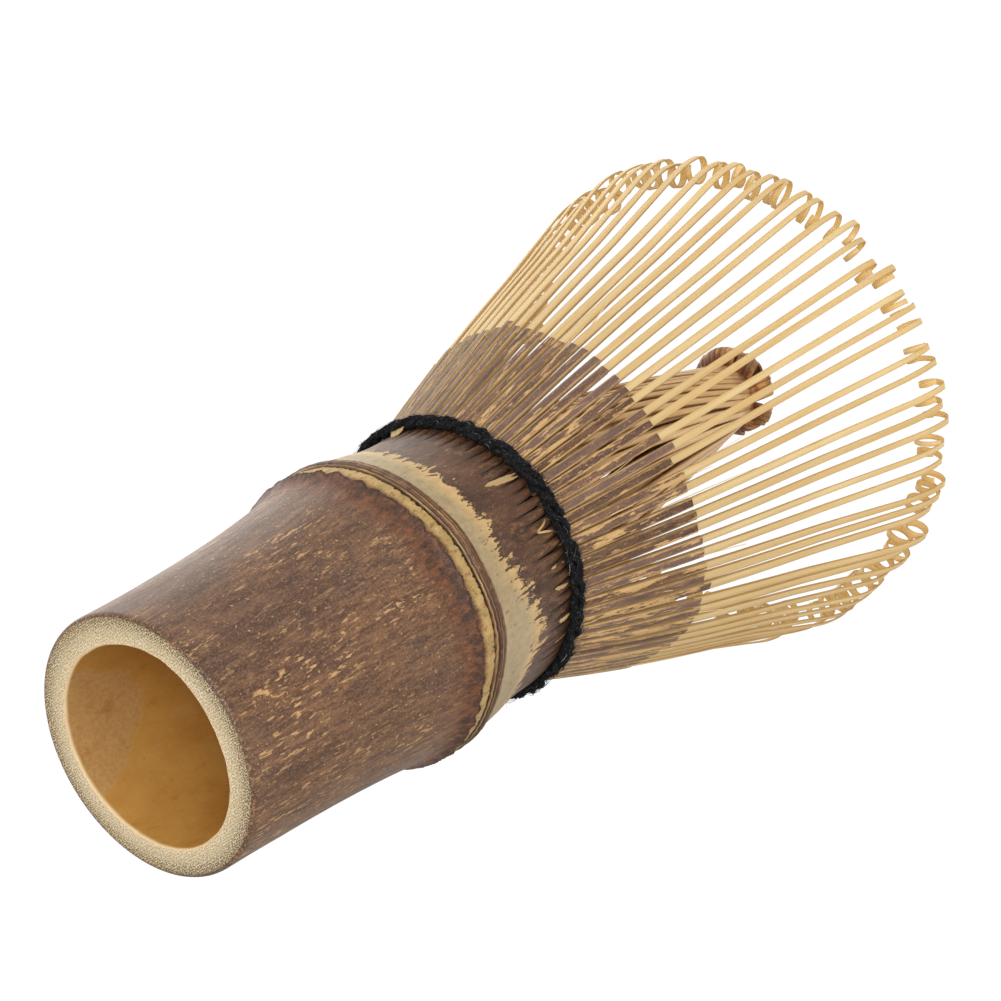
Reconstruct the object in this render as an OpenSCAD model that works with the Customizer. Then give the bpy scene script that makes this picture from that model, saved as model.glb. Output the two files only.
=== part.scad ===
// Bamboo tea whisk, standing on the open end of its handle.
// One length of culm is carved and split into outer and inner tines.
// Origin at the centre of the open handle end, +Z up the axis to the tips.
// Millimetres.

/* [Handle] */
// outer radius of the open handle end
handle_r = 13.5; // [12.5:0.1:14.5]
// radius of the hollow inside the handle
bore_r = 10.4; // [9:0.1:11.2]
// length of the handle from its open end to the sheath scar
handle_l = 30.3; // [26:0.1:36]
// how much the handle widens towards the node
flare = 2.0; // [0.5:0.1:2.5]

/* [Node] */
// radius of the sheath scar's lip
scar_r = 16.45; // [16:0.05:17.5]
// radius of the nodal ridge above the scar
ridge_r = 16.7; // [16:0.05:17.5]
// height of the scar band below the groove
scar_h = 2.4; // [1.8:0.1:3]
// height of the ridge above the groove
ridge_h = 1.8; // [1.2:0.1:2.4]
// thickness of the diaphragm that closes the culm at the node
diaphragm_t = 1.8; // [1:0.1:1.8]

/* [Neck] */
// outer radius where the thread binds the neck
neck_r = 15.25; // [14.8:0.05:15.6]
// radius of the hollow above the diaphragm
cavity_r = 11.7; // [11.2:0.1:11.8]
// height of the neck, from the ridge to the roots of the tines
neck_h = 14.3; // [12:0.1:18]
// how far the splits run down into the neck
split_h = 4.4; // [3:0.1:6]
// width of a split at the top of the neck
split_w = 0.32; // [0.2:0.02:0.4]

/* [Thread] */
// thickness of the binding thread
thread_d = 0.6; // [0.5:0.02:0.64]
// turns of the binding thread round the outside
thread_turns = 3; // [2:1:3]

/* [Outer tines] */
// number of outer tines, a multiple of the 16 first splits
tine_n = 80; // [64:16:80]
// height above the neck to which each tine keeps its dark skin
skin_h = 15.5; // [12:0.5:20]
// height above the neck of the middle of the curled tip
tine_h = 53.2; // [46:0.1:56]
// widest radius of the ring of tips
tip_r = 31; // [28:0.1:33]
// radius of a curled tip
curl_r = 1.65; // [1.3:0.05:2]
// how far a tip curls round, in degrees
curl_turn = 300; // [180:5:320]

/* [Inner tines] */
// radius of the ring from which the longer inner tines rise
inner_root_r = 12.85; // [12.8:0.05:12.9]
// radius of the twisted core below its knob
core_r = 4.0; // [3.9:0.05:4.4]
// how far round the core is twisted, in degrees
core_twist = 60; // [0:5:60]
// how far the top of the core leans off the axis
core_lean = 2.9; // [0:0.1:2.9]
// height above the neck at which the knob begins
core_h = 51.6; // [46:0.1:54]
// radius of the curls in the knob
knob_r = 2.9; // [2.6:0.05:3]

/* [Hidden] */
$fn = 64;
scar_z = handle_l;
groove_z = scar_z + scar_h;
neck_z = groove_z + ridge_h;
top_z = neck_z + neck_h;
segments = 16;
per_segment = tine_n / segments;
pitch = 360 / tine_n;
root_gap = 0.2;
tip_lean = 11.5;
root_r = neck_r + 0.05;
end_h = tine_h - curl_r * sin(tip_lean);
end_r = tip_r - curl_r + curl_r * cos(tip_lean);
bow = (tan(tip_lean) * end_h - (end_r - root_r)) / (end_h * end_h);
slope = tan(tip_lean) - 2 * bow * end_h;
thread_pitch = thread_d + 0.03;
thread_z = top_z - 0.65 - thread_pitch * thread_turns;
thread_steps = 36;
inner_n = 80;
inner_per = 10;

// radius of a tine's outer face, h above the neck
function tine_r(h) = root_r + slope * h + bow * h * h;
// radius of the handle's skin, z above its open end
function skin_r(z) = handle_r + flare * pow(z / (handle_l - 2), 1.5);
// centre line of the binding thread: level turns that climb one thread each
function thread_at(i) = let(a = 360 * i / thread_steps, r = neck_r + thread_d / 2 + 0.1)
    [r * cos(a), r * sin(a), thread_z + thread_pitch * i / thread_steps];

module handle() {
    color([0.43, 0.33, 0.26])
    rotate_extrude($fn = 96)
        polygon(concat(
            [[bore_r + 0.25, 0], [handle_r - 0.35, 0], [handle_r, 0.35]],
            [for (k = [1:7]) let(z = (handle_l - 2) * k / 7) [skin_r(z), z]],
            [[scar_r - 0.45, handle_l - 0.9], [scar_r, handle_l - 0.3], [scar_r, handle_l],
             [bore_r, handle_l], [bore_r, 0.25]]));
}

// the pale band over the sheath scar, with the diaphragm across the culm
module sheath_scar() {
    color([0.73, 0.66, 0.46])
    rotate_extrude($fn = 96)
        polygon([[0, scar_z], [scar_r - 0.15, scar_z], [scar_r - 0.05, scar_z + 0.5],
                 [scar_r, groove_z - 0.5], [ridge_r - 0.35, groove_z],
                 [cavity_r, groove_z], [cavity_r - 0.4, scar_z + diaphragm_t], [0, scar_z + diaphragm_t]]);
}

module nodal_ridge() {
    color([0.50, 0.38, 0.28])
    rotate_extrude($fn = 96)
        polygon([[cavity_r, groove_z], [ridge_r - 0.35, groove_z], [ridge_r, groove_z + 0.35],
                 [ridge_r, neck_z - 0.7], [ridge_r - 0.45, neck_z], [cavity_r, neck_z]]);
}

// the upper internode, split at its top into the roots of the tines
module neck() {
    color([0.45, 0.37, 0.31])
    difference() {
        rotate_extrude($fn = 96)
            polygon([[cavity_r, neck_z], [ridge_r - 0.5, neck_z], [ridge_r - 0.75, neck_z + neck_h * 0.2],
                     [neck_r + 0.3, neck_z + neck_h * 0.42], [neck_r, neck_z + neck_h * 0.62], [neck_r, top_z],
                     [neck_r - 0.9, top_z], [neck_r - 0.9, top_z - 1.9], [inner_root_r + 0.4, top_z - 1.9],
                     [inner_root_r + 0.4, top_z], [cavity_r, top_z]]);
        for (i = [0:tine_n - 1])
            rotate([0, 0, pitch * (i + 0.5)])
            translate([cavity_r - 1, 0, top_z])
            rotate([90, 0, 90])
            linear_extrude(height = 5)
                polygon([[0, -split_h], [split_w / 2, 0.5], [-split_w / 2, 0.5]]);
    }
}

// thread woven round between the outer and the inner roots
module weaving_thread() {
    color([0.09, 0.10, 0.12])
    rotate_extrude($fn = 96)
        translate([(neck_r - 0.9 + inner_root_r + 0.4) / 2, top_z - 1.1])
            circle(d = 0.8, $fn = 48);
}

// one thread, wound level round the outside of the roots
module binding_thread() {
    n = thread_steps * thread_turns;
    m = 8;
    d = thread_d / 2;
    pts = [for (i = [0:n]) let(c = thread_at(i), a = 360 * i / thread_steps)
               for (k = [0:m - 1]) let(b = 360 * (k + 0.5) / m)
                   [c[0] + d * cos(b) * cos(a), c[1] + d * cos(b) * sin(a), c[2] + d * sin(b)]];
    color([0.09, 0.10, 0.12])
    polyhedron(pts, concat(
        [[for (k = [0:m - 1]) k]],
        [for (i = [0:n - 1], k = [0:m - 1])
            [i * m + k, (i + 1) * m + k, (i + 1) * m + (k + 1) % m, i * m + (k + 1) % m]],
        [[for (k = [m - 1:-1:0]) n * m + k]]), convexity = 10);
}

// one outer tine in the plane of +X: skin-backed root, shaved blade, curled tip
module outer_tine() {
    hs = [root_gap, skin_h * 0.33, skin_h * 0.66, skin_h];
    hb = [skin_h - 0.5, skin_h + (end_h - skin_h) * 0.33, skin_h + (end_h - skin_h) * 0.66, end_h];
    translate([0, 0.5, top_z]) rotate([90, 0, 0]) linear_extrude(height = 1.0)
        polygon(concat(
            [for (h = hs) [tine_r(h), h]],
            [for (i = [3:-1:0]) [tine_r(hs[i]) - 0.85 + 0.08 * i, hs[i]]]));
    translate([0, 0.36, top_z]) rotate([90, 0, 0]) linear_extrude(height = 0.72)
        polygon(concat(
            [for (i = [0:3]) [tine_r(hb[i]) - 0.12 + 0.04 * i, hb[i]]],
            [for (i = [3:-1:0]) [tine_r(hb[i]) - 0.52 + 0.32 * i / 3, hb[i]]]));
    translate([tip_r - curl_r, 0, top_z + tine_h]) rotate([90, 0, 0]) rotate([0, 0, -tip_lean - 4])
        rotate_extrude(angle = curl_turn)
            translate([curl_r - 0.185, -0.3]) square([0.17, 0.6]);
}

// the tines that grow from one of the 16 first splits
module tine_segment(k) {
    for (i = [0:per_segment - 1])
        rotate([0, 0, 360 * k / segments + pitch * (i - (per_segment - 1) / 2)])
            outer_tine();
}

// a straight round tine from point a to point b
module rod(a, b, d1, d2) {
    v = b - a;
    translate(a) rotate([0, acos(v[2] / norm(v)), atan2(v[1], v[0])])
        cylinder(h = norm(v), d1 = d1, d2 = d2, $fn = 24);
}

// inner tine number i: odd ones fill the core, even ones end in the knob's curls
module inner_tine(i) {
    a = 360 * i / inner_n;
    outer = i % 2 == 0;
    r = outer ? core_r : core_r - 0.8;
    b = outer ? inner_root_r : inner_root_r - 0.75;
    t = a + core_twist;
    z1 = top_z + core_h;
    p = [b * cos(a), b * sin(a), top_z + 0.1];
    q = [r * cos(t), r * sin(t) - core_lean, z1];
    rod(p, q, outer ? 0.6 : 0.5, outer ? 0.5 : 0.4);
    if (outer) {
        translate(q) sphere(d = 0.62, $fn = 24);
        translate([0, -core_lean, z1 + knob_r * sin(55)])
            rotate([0, 0, t]) translate([r - knob_r * cos(55), 0, 0])
                rotate([90, 0, 0]) rotate([0, 0, -55])
                    rotate_extrude(angle = i % 4 == 0 ? 150 : 95)
                        translate([knob_r, 0]) circle(d = 0.56, $fn = 24);
    }
}

module inner_group(k) {
    for (i = [0:inner_per - 1]) inner_tine(k * inner_per + i);
}

module outer_tines_01() { color([0.86, 0.72, 0.50]) tine_segment(0); }
module outer_tines_02() { color([0.86, 0.72, 0.50]) tine_segment(1); }
module outer_tines_03() { color([0.86, 0.72, 0.50]) tine_segment(2); }
module outer_tines_04() { color([0.86, 0.72, 0.50]) tine_segment(3); }
module outer_tines_05() { color([0.86, 0.72, 0.50]) tine_segment(4); }
module outer_tines_06() { color([0.86, 0.72, 0.50]) tine_segment(5); }
module outer_tines_07() { color([0.86, 0.72, 0.50]) tine_segment(6); }
module outer_tines_08() { color([0.86, 0.72, 0.50]) tine_segment(7); }
module outer_tines_09() { color([0.86, 0.72, 0.50]) tine_segment(8); }
module outer_tines_10() { color([0.86, 0.72, 0.50]) tine_segment(9); }
module outer_tines_11() { color([0.86, 0.72, 0.50]) tine_segment(10); }
module outer_tines_12() { color([0.86, 0.72, 0.50]) tine_segment(11); }
module outer_tines_13() { color([0.86, 0.72, 0.50]) tine_segment(12); }
module outer_tines_14() { color([0.86, 0.72, 0.50]) tine_segment(13); }
module outer_tines_15() { color([0.86, 0.72, 0.50]) tine_segment(14); }
module outer_tines_16() { color([0.86, 0.72, 0.50]) tine_segment(15); }
module inner_tines_01() { color([0.80, 0.64, 0.42]) inner_group(0); }
module inner_tines_02() { color([0.80, 0.64, 0.42]) inner_group(1); }
module inner_tines_03() { color([0.80, 0.64, 0.42]) inner_group(2); }
module inner_tines_04() { color([0.80, 0.64, 0.42]) inner_group(3); }
module inner_tines_05() { color([0.80, 0.64, 0.42]) inner_group(4); }
module inner_tines_06() { color([0.80, 0.64, 0.42]) inner_group(5); }
module inner_tines_07() { color([0.80, 0.64, 0.42]) inner_group(6); }
module inner_tines_08() { color([0.80, 0.64, 0.42]) inner_group(7); }

handle();
sheath_scar();
nodal_ridge();
neck();
weaving_thread();
binding_thread();
outer_tines_01();
outer_tines_02();
outer_tines_03();
outer_tines_04();
outer_tines_05();
outer_tines_06();
outer_tines_07();
outer_tines_08();
outer_tines_09();
outer_tines_10();
outer_tines_11();
outer_tines_12();
outer_tines_13();
outer_tines_14();
outer_tines_15();
outer_tines_16();
inner_tines_01();
inner_tines_02();
inner_tines_03();
inner_tines_04();
inner_tines_05();
inner_tines_06();
inner_tines_07();
inner_tines_08();
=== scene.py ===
import math

import bpy
import numpy as np
from mathutils import Matrix, Vector


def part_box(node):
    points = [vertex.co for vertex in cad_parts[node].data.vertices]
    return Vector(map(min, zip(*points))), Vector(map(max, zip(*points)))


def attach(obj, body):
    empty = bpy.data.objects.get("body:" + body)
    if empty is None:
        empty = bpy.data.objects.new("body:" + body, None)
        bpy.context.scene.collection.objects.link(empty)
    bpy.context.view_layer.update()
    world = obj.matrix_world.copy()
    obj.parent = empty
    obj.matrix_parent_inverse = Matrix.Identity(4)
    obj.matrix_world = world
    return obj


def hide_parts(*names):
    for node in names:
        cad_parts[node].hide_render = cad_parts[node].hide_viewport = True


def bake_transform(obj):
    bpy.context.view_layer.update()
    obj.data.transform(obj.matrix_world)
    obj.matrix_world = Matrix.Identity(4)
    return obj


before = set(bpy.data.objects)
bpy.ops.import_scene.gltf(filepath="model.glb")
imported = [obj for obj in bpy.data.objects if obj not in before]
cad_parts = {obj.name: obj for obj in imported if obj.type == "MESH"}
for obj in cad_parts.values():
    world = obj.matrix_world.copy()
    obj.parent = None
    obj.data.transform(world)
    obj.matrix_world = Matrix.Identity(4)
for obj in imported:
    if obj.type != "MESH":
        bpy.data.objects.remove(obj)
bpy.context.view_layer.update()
rng = np.random.default_rng(46)
MM = 0.001
TAU = 2 * math.pi


# ---------------------------------------------------------------- heights, from the CAD nodes (mm)
def top(node):
    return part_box(node)[1][2] / MM


SCAR_Z = top("handle")
GROOVE_Z = top("sheath_scar")
RIDGE_Z = top("nodal_ridge")
TOP_Z = top("neck")
HANDLE_R, BORE_R = 13.5, 10.4
NECK_R, CAVITY_R = 15.25, 11.7
TINES = 80
SKIN_H, TINE_H, TIP_R, CURL_R, LEAN = 15.5, 53.2, 31.0, 1.65, math.radians(11.5)
CORE_LEAN = 2.9
BOW_A = math.radians(-3)
END_H = TINE_H - CURL_R * math.sin(LEAN)
END_R = TIP_R - CURL_R + CURL_R * math.cos(LEAN)
ROOT_R = NECK_R + 0.05
BOW = (math.tan(LEAN) * END_H - (END_R - ROOT_R)) / END_H**2
SLOPE = math.tan(LEAN) - 2 * BOW * END_H


# ---------------------------------------------------------------- camera
# f is the focal length in pixels of the 1001 frame; P the handle end's centre and A the
# whisk's axis, seen from the camera (x right, y up, -z ahead), in handle radii.
F_PX = 2300.0
th, ph = 0.75518, 0.53071
P = np.array([-2.44806, -1.69827, -15.81577]) * HANDLE_R * MM
A = np.array([math.sin(th) * math.cos(ph), math.sin(th) * math.sin(ph), -math.cos(th)])
yw = P - (P @ A) * A
yw /= np.linalg.norm(yw)
xw = np.cross(yw, A)
M = np.array([xw, yw, A])  # rows: the row frame's axes seen from the camera
CAM_LOC = -M @ P
cam_data = bpy.data.cameras.new("camera")
cam = bpy.data.objects.new("camera", cam_data)
bpy.context.scene.collection.objects.link(cam)
cam_data.sensor_width = 36
cam_data.lens = F_PX / 1001 * 36
cam_data.clip_start, cam_data.clip_end = 0.01, 20
cam.matrix_world = Matrix.Translation(Vector(CAM_LOC)) @ Matrix(M.tolist()).to_4x4()
bpy.context.scene.camera = cam


def from_camera(x, y, z):
    """A direction seen from the camera (x right, y up, z towards it), in the row frame."""
    return Vector((M @ np.array([x, y, z], float)).tolist())


def fit_angle(t):
    """The row frame's angle, in degrees, of a place round the ring as the camera fit counts it."""
    e1 = np.array([math.cos(th) * math.cos(ph), math.cos(th) * math.sin(ph), math.sin(th)])
    a0 = np.array([A[0], A[1], -A[2]])
    e0 = np.array([e1[0], e1[1], -e1[2]])
    e2 = np.cross(a0, e0)
    e2 = np.array([e2[0], e2[1], -e2[2]])
    d = math.cos(math.radians(t)) * e1 + math.sin(math.radians(t)) * e2
    return math.degrees(math.atan2(d @ yw, d @ xw))


# ---------------------------------------------------------------- mesh helpers
def culm_bow(z):
    """How far the culm's skin bends off the axis, towards its lower right side in the main view."""
    return np.interp(z, [0, 8, 20, 46, 50], [0.06, 0.22, 0.31, 0.30, 0.0])


def piece(name, verts, faces, mats, idx=None, angle=50, body="culm"):
    me = bpy.data.meshes.new(name)
    verts = np.asarray(verts, float)
    if body and not name.startswith(("core", "weaving")):
        b = culm_bow(verts[:, 2])
        verts = verts + np.stack([b * math.cos(BOW_A), b * math.sin(BOW_A), 0 * b], 1)
    verts = verts * MM
    me.from_pydata(verts.tolist(), [], faces if isinstance(faces, list) else faces.tolist())
    me.update()
    for m in mats:
        me.materials.append(m)
    if idx is not None:
        me.polygons.foreach_set("material_index", np.asarray(idx, np.int32))
    me.polygons.foreach_set("use_smooth", [True] * len(me.polygons))
    if angle:
        me.set_sharp_from_angle(angle=math.radians(angle))
    o = bpy.data.objects.new(name, me)
    bpy.context.scene.collection.objects.link(o)
    if body:
        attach(o, body)
    return o


def grid_faces(rows, cols, wrap=False, flip=False, start=0):
    """Quads of a grid of vertices, row by row."""
    i = np.arange(rows - 1)[:, None]
    j = np.arange(cols if wrap else cols - 1)[None, :]
    k = (j + 1) % cols
    a, b, c, d = i * cols + j, i * cols + k, (i + 1) * cols + k, (i + 1) * cols + j
    q = np.stack([a, b, c, d] if not flip else [a, d, c, b], -1).reshape(-1, 4)
    return q + start


def polar(r, t, z):
    return np.stack([r * np.cos(t), r * np.sin(t), z + 0 * r * t], -1)


def ripple(seed, n, kmin, kmax, zscale=0.0):
    """A smooth seeded function of angle and height, of about unit size."""
    g = np.random.default_rng(seed)
    k = g.integers(kmin, kmax + 1, n)
    p, w, a = g.uniform(0, TAU, n), g.normal(0, 1, n) * zscale, g.uniform(0.4, 1, n)
    a = a / np.sqrt((a**2).sum() / 2)

    def f(t, z=0.0):
        out = 0.0
        for i in range(n):
            out = out + a[i] * np.cos(k[i] * t + p[i] + w[i] * z)
        return out

    return f


# ---------------------------------------------------------------- material helpers
class Mat:
    """A node material, with short calls for the nodes used here."""

    def __init__(self, name):
        self.m = bpy.data.materials.new(name)
        self.m.use_nodes = True
        self.nt = self.m.node_tree
        self.nt.nodes.clear()
        self.out = self.nt.nodes.new("ShaderNodeOutputMaterial")
        self.bsdf = self.nt.nodes.new("ShaderNodeBsdfPrincipled")
        self.nt.links.new(self.bsdf.outputs[0], self.out.inputs[0])
        self.co = self.nt.nodes.new("ShaderNodeTexCoord").outputs["Object"]

    def put(self, socket, value):
        if isinstance(value, bpy.types.NodeSocket):
            self.nt.links.new(value, socket)
        elif isinstance(value, (tuple, list)) and len(value) == 3 and socket.type == "RGBA":
            socket.default_value = (*value, 1)
        else:
            socket.default_value = value

    def scaled(self, x, y, z, v=None):
        n = self.nt.nodes.new("ShaderNodeVectorMath")
        n.operation = "MULTIPLY"
        self.put(n.inputs[0], v or self.co)
        n.inputs[1].default_value = (x, y, z)
        return n.outputs[0]

    def noise(self, v, scale=1.0, detail=3.0, rough=0.55, distort=0.0, color=False):
        n = self.nt.nodes.new("ShaderNodeTexNoise")
        self.put(n.inputs["Vector"], v)
        n.inputs["Scale"].default_value = scale
        n.inputs["Detail"].default_value = detail
        n.inputs["Roughness"].default_value = rough
        n.inputs["Distortion"].default_value = distort
        return n.outputs["Color" if color else "Fac"]

    def voronoi(self, v, scale=1.0, feature="F1", out="Distance", randomness=1.0, flat=False):
        n = self.nt.nodes.new("ShaderNodeTexVoronoi")
        n.feature = feature
        n.voronoi_dimensions = "2D" if flat else "3D"
        self.put(n.inputs["Vector"], v)
        n.inputs["Scale"].default_value = scale
        n.inputs["Randomness"].default_value = randomness
        return n.outputs[out]

    def ramp(self, fac, *stops, ease=False):
        n = self.nt.nodes.new("ShaderNodeValToRGB")
        if ease:
            n.color_ramp.interpolation = "EASE"
        self.put(n.inputs[0], fac)
        e = n.color_ramp.elements
        while len(e) < len(stops):
            e.new(0.5)
        for el, (p, c) in zip(e, stops):
            el.position = p
            el.color = (*c, 1) if isinstance(c, (tuple, list)) else (c, c, c, 1)
        return n.outputs[0]

    def span(self, x, lo, hi, a=0.0, b=1.0):
        n = self.nt.nodes.new("ShaderNodeMapRange")
        self.put(n.inputs[0], x)
        for i, v in enumerate((lo, hi, a, b), 1):
            self.put(n.inputs[i], v)
        return n.outputs[0]

    def math(self, op, a, b=0.0, clamp=False):
        n = self.nt.nodes.new("ShaderNodeMath")
        n.operation = op
        n.use_clamp = clamp
        self.put(n.inputs[0], a)
        self.put(n.inputs[1], b)
        return n.outputs[0]

    def mix(self, fac, a, b, mode="MIX"):
        n = self.nt.nodes.new("ShaderNodeMix")
        n.data_type = "RGBA"
        n.blend_type = mode
        self.put(n.inputs[0], fac)
        self.put(n.inputs[6], a)
        self.put(n.inputs[7], b)
        return n.outputs[2]

    def xyz(self, v=None):
        n = self.nt.nodes.new("ShaderNodeSeparateXYZ")
        self.put(n.inputs[0], v or self.co)
        return n.outputs

    def radius(self):
        x, y, z = self.xyz()
        return self.math("SQRT", self.math("ADD", self.math("MULTIPLY", x, x), self.math("MULTIPLY", y, y)))

    def attr(self, name, vector=False):
        n = self.nt.nodes.new("ShaderNodeAttribute")
        n.attribute_name = name
        return n.outputs["Vector" if vector else "Fac"]

    def bump(self, height, distance, strength=1.0, normal=None):
        n = self.nt.nodes.new("ShaderNodeBump")
        n.inputs["Strength"].default_value = strength
        n.inputs["Distance"].default_value = distance
        self.put(n.inputs["Height"], height)
        if normal is not None:
            self.put(n.inputs["Normal"], normal)
        return n.outputs[0]

    def finish(self, color, rough=0.5, normal=None, specular=0.5, coat=0.0, coat_rough=0.3, sheen=0.0, sss=0.0):
        b = self.bsdf.inputs
        self.put(b["Base Color"], color)
        self.put(b["Roughness"], rough)
        b["Specular IOR Level"].default_value = specular
        b["Coat Weight"].default_value = coat
        b["Coat Roughness"].default_value = coat_rough
        if sheen:
            b["Sheen Weight"].default_value = sheen
            b["Sheen Roughness"].default_value = 0.6
        if normal is not None:
            self.put(b["Normal"], normal)
        return self.m


def srgb(r, g, b):
    f = lambda c: ((c / 255 + 0.055) / 1.055) ** 2.4 if c / 255 > 0.04045 else c / 255 / 12.92
    return (f(r), f(g), f(b))


DARK, BROWN, WARM = srgb(84, 66, 60), srgb(116, 90, 76), srgb(132, 98, 68)
TAN, PALE_TAN = srgb(186, 150, 100), srgb(206, 176, 124)


def skin_colour(k, fleck=1.0, coarse=1.0, v=None):
    """Smoked bamboo skin: mauve brown with warmer patches, a fine grain and clusters of tan dashes along the fibres."""
    s = lambda a, b: k.scaled(a, a, b, v)
    patch = k.noise(s(70, 30), detail=3, rough=0.6)
    grain = k.noise(s(5200, 3600), detail=2, rough=0.6)
    fine = k.noise(s(2300, 330), detail=4, rough=0.7)
    base = k.mix(k.ramp(patch, (0.38, 0.0), (0.62, 1.0)), srgb(116, 91, 80), srgb(128, 92, 64))
    mottled = k.noise(s(520, 120), detail=5, rough=0.74)
    base = k.mix(k.ramp(mottled, (0.42, 0.0), (0.66, 0.8)), base, srgb(148, 110, 80))
    base = k.mix(k.ramp(mottled, (0.32, 0.85), (0.48, 0.0)), base, srgb(72, 50, 42))
    broad = k.noise(s(190, 28), detail=3, rough=0.6)
    base = k.mix(k.ramp(broad, (0.34, 0.6), (0.50, 0.0)), base, srgb(74, 50, 40))
    base = k.mix(k.ramp(fine, (0.40, 0.0), (0.62, 0.8)), base, srgb(78, 56, 47))
    base = k.mix(k.ramp(grain, (0.34, 0.45), (0.48, 0.0)), base, srgb(60, 43, 36))
    base = k.mix(k.ramp(grain, (0.54, 0.0), (0.70, 0.45)), base, srgb(164, 134, 106))
    # tan dashes in drifts
    drift = k.noise(s(210, 62), detail=3, rough=0.65, distort=0.3)
    dash = k.noise(s(3000, 620), detail=2, rough=0.55)
    dashes = k.math("MULTIPLY", k.ramp(dash, (0.575, 0.0), (0.66, 1.0)), k.ramp(drift, (0.46, 0.10), (0.60, 1.0)))
    big = k.noise(s(1250 * coarse, 330 * coarse), detail=4, rough=0.7, distort=0.25)
    bigs = k.math("MULTIPLY", k.ramp(big, (0.635, 0.0), (0.69, 0.9)), k.ramp(drift, (0.50, 0.0), (0.58, 1.0)))
    marks = k.math("MULTIPLY", k.math("MAXIMUM", dashes, bigs), fleck, clamp=True)
    col = k.mix(marks, base, k.mix(grain, srgb(168, 128, 84), srgb(226, 190, 138)))
    speck = k.noise(s(3400, 2300), detail=1)
    col = k.mix(k.ramp(speck, (0.69, 0.0), (0.75, 0.8)), col, srgb(204, 168, 122))
    return col, fine, marks, grain


def handle_skin():
    k = Mat("smoked_skin")
    col, fine, marks, grain = skin_colour(k)
    x, y, z = k.xyz()
    wob = k.noise(k.scaled(420, 420, 150), detail=5, rough=0.7)
    rough_fibre = k.noise(k.scaled(1500, 1500, 480), detail=4, rough=0.7)
    edge = k.math("ADD", z, k.span(wob, 0.2, 0.8, -0.0012, 0.0012))
    near = k.span(edge, SCAR_Z * MM - 0.0036, SCAR_Z * MM - 0.0008)
    red = k.mix(k.ramp(rough_fibre, (0.40, 0.0), (0.62, 1.0)), srgb(80, 47, 33), srgb(134, 84, 52))
    col = k.mix(k.math("MULTIPLY", near, 0.85), col, red)
    crust = k.span(edge, SCAR_Z * MM - 0.0015, SCAR_Z * MM - 0.0004)
    col = k.mix(k.math("MULTIPLY", crust, k.ramp(rough_fibre, (0.36, 1.0), (0.60, 0.30))), col, srgb(58, 40, 34))
    rim = k.span(z, 0.0, 0.0009, 1.0, 0.0)
    col = k.mix(k.math("MULTIPLY", rim, 0.45), col, srgb(58, 42, 36))
    col = k.mix(k.math("MULTIPLY", rim, k.ramp(grain, (0.54, 0.0), (0.64, 0.7))), col, srgb(176, 142, 104))
    col = k.mix(1.0, col, (0.98, 0.955, 0.92), mode="MULTIPLY")
    n = k.bump(grain, 0.00004, 0.35)
    n = k.bump(fine, 0.00006, 0.4, n)
    n = k.bump(wob, 0.0002, 0.3, n)
    n = k.bump(k.math("MULTIPLY", rough_fibre, near), 0.0004, 0.7, n)
    rough = k.span(k.noise(k.scaled(500, 500, 60), detail=4), 0.3, 0.7, 0.38, 0.54)
    return k.finish(col, rough, n, specular=0.42, coat=0.06, coat_rough=0.22)


def scar_lip():
    k = Mat("scar_lip")
    g = k.noise(k.scaled(1700, 1700, 900), detail=5, rough=0.75)
    slow = k.noise(k.scaled(260, 260, 260), detail=3)
    col = k.ramp(g, (0.34, srgb(38, 25, 22)), (0.46, srgb(66, 41, 32)), (0.57, srgb(104, 62, 42)), (0.68, srgb(150, 100, 62)))
    col = k.mix(k.ramp(slow, (0.42, 0.0), (0.62, 0.7)), col, srgb(48, 32, 27))
    return k.finish(col, 0.6, k.bump(g, 0.0003, 0.8))


def end_grain():
    k = Mat("end_grain")
    r = k.radius()
    u = k.span(r, BORE_R * MM, HANDLE_R * MM)
    wob = k.noise(k.scaled(700, 700, 0), scale=1, detail=2, color=True)
    v = k.math
    warped = k.nt.nodes.new("ShaderNodeVectorMath")
    warped.operation = "MULTIPLY_ADD"
    k.put(warped.inputs[0], wob)
    warped.inputs[1].default_value = (0.00022, 0.00022, 0)
    k.put(warped.inputs[2], k.co)
    w = warped.outputs[0]
    dots_out = k.voronoi(k.scaled(4500, 4500, 0, w), randomness=0.55, flat=True)
    dots_in = k.voronoi(k.scaled(3700, 3700, 0, w), randomness=0.55, flat=True)
    d_out = k.ramp(dots_out, (0.22, 1.0), (0.44, 0.0))
    d_in = k.ramp(dots_in, (0.18, 1.0), (0.36, 0.0))
    dots = k.mix(k.ramp(u, (0.25, 0.0), (0.6, 1.0)), d_in, d_out)
    grit = k.noise(k.scaled(4400, 4400, 0), detail=3, rough=0.7)
    slow = k.noise(k.scaled(190, 190, 0), detail=3)
    base = k.ramp(u, (0.0, srgb(230, 206, 172)), (0.10, srgb(222, 206, 174)), (0.5, srgb(212, 200, 168)), (0.8, srgb(174, 156, 122)), (0.92, srgb(96, 74, 55)), (1.0, srgb(56, 41, 33)))
    base = k.mix(k.ramp(grit, (0.38, 0.0), (0.66, 0.6)), base, srgb(240, 226, 200))
    base = k.mix(k.ramp(grit, (0.32, 0.5), (0.46, 0.0)), base, srgb(160, 138, 100))
    base = k.mix(k.ramp(slow, (0.4, 0.0), (0.65, 0.25)), base, srgb(206, 176, 128))
    dark = k.ramp(u, (0.0, srgb(168, 136, 98)), (0.5, srgb(120, 100, 68)), (0.85, srgb(72, 56, 40)), (1.0, srgb(52, 38, 31)))
    amount = k.ramp(u, (0.02, 0.35), (0.3, 0.7), (0.7, 0.95), (0.95, 1.0))
    col = k.mix(k.math("MULTIPLY", dots, amount), base, dark)
    n = k.bump(k.math("SUBTRACT", grit, k.math("MULTIPLY", dots, 0.8)), 0.0002, 0.6)
    return k.finish(col, 0.65, n, specular=0.3)


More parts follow.
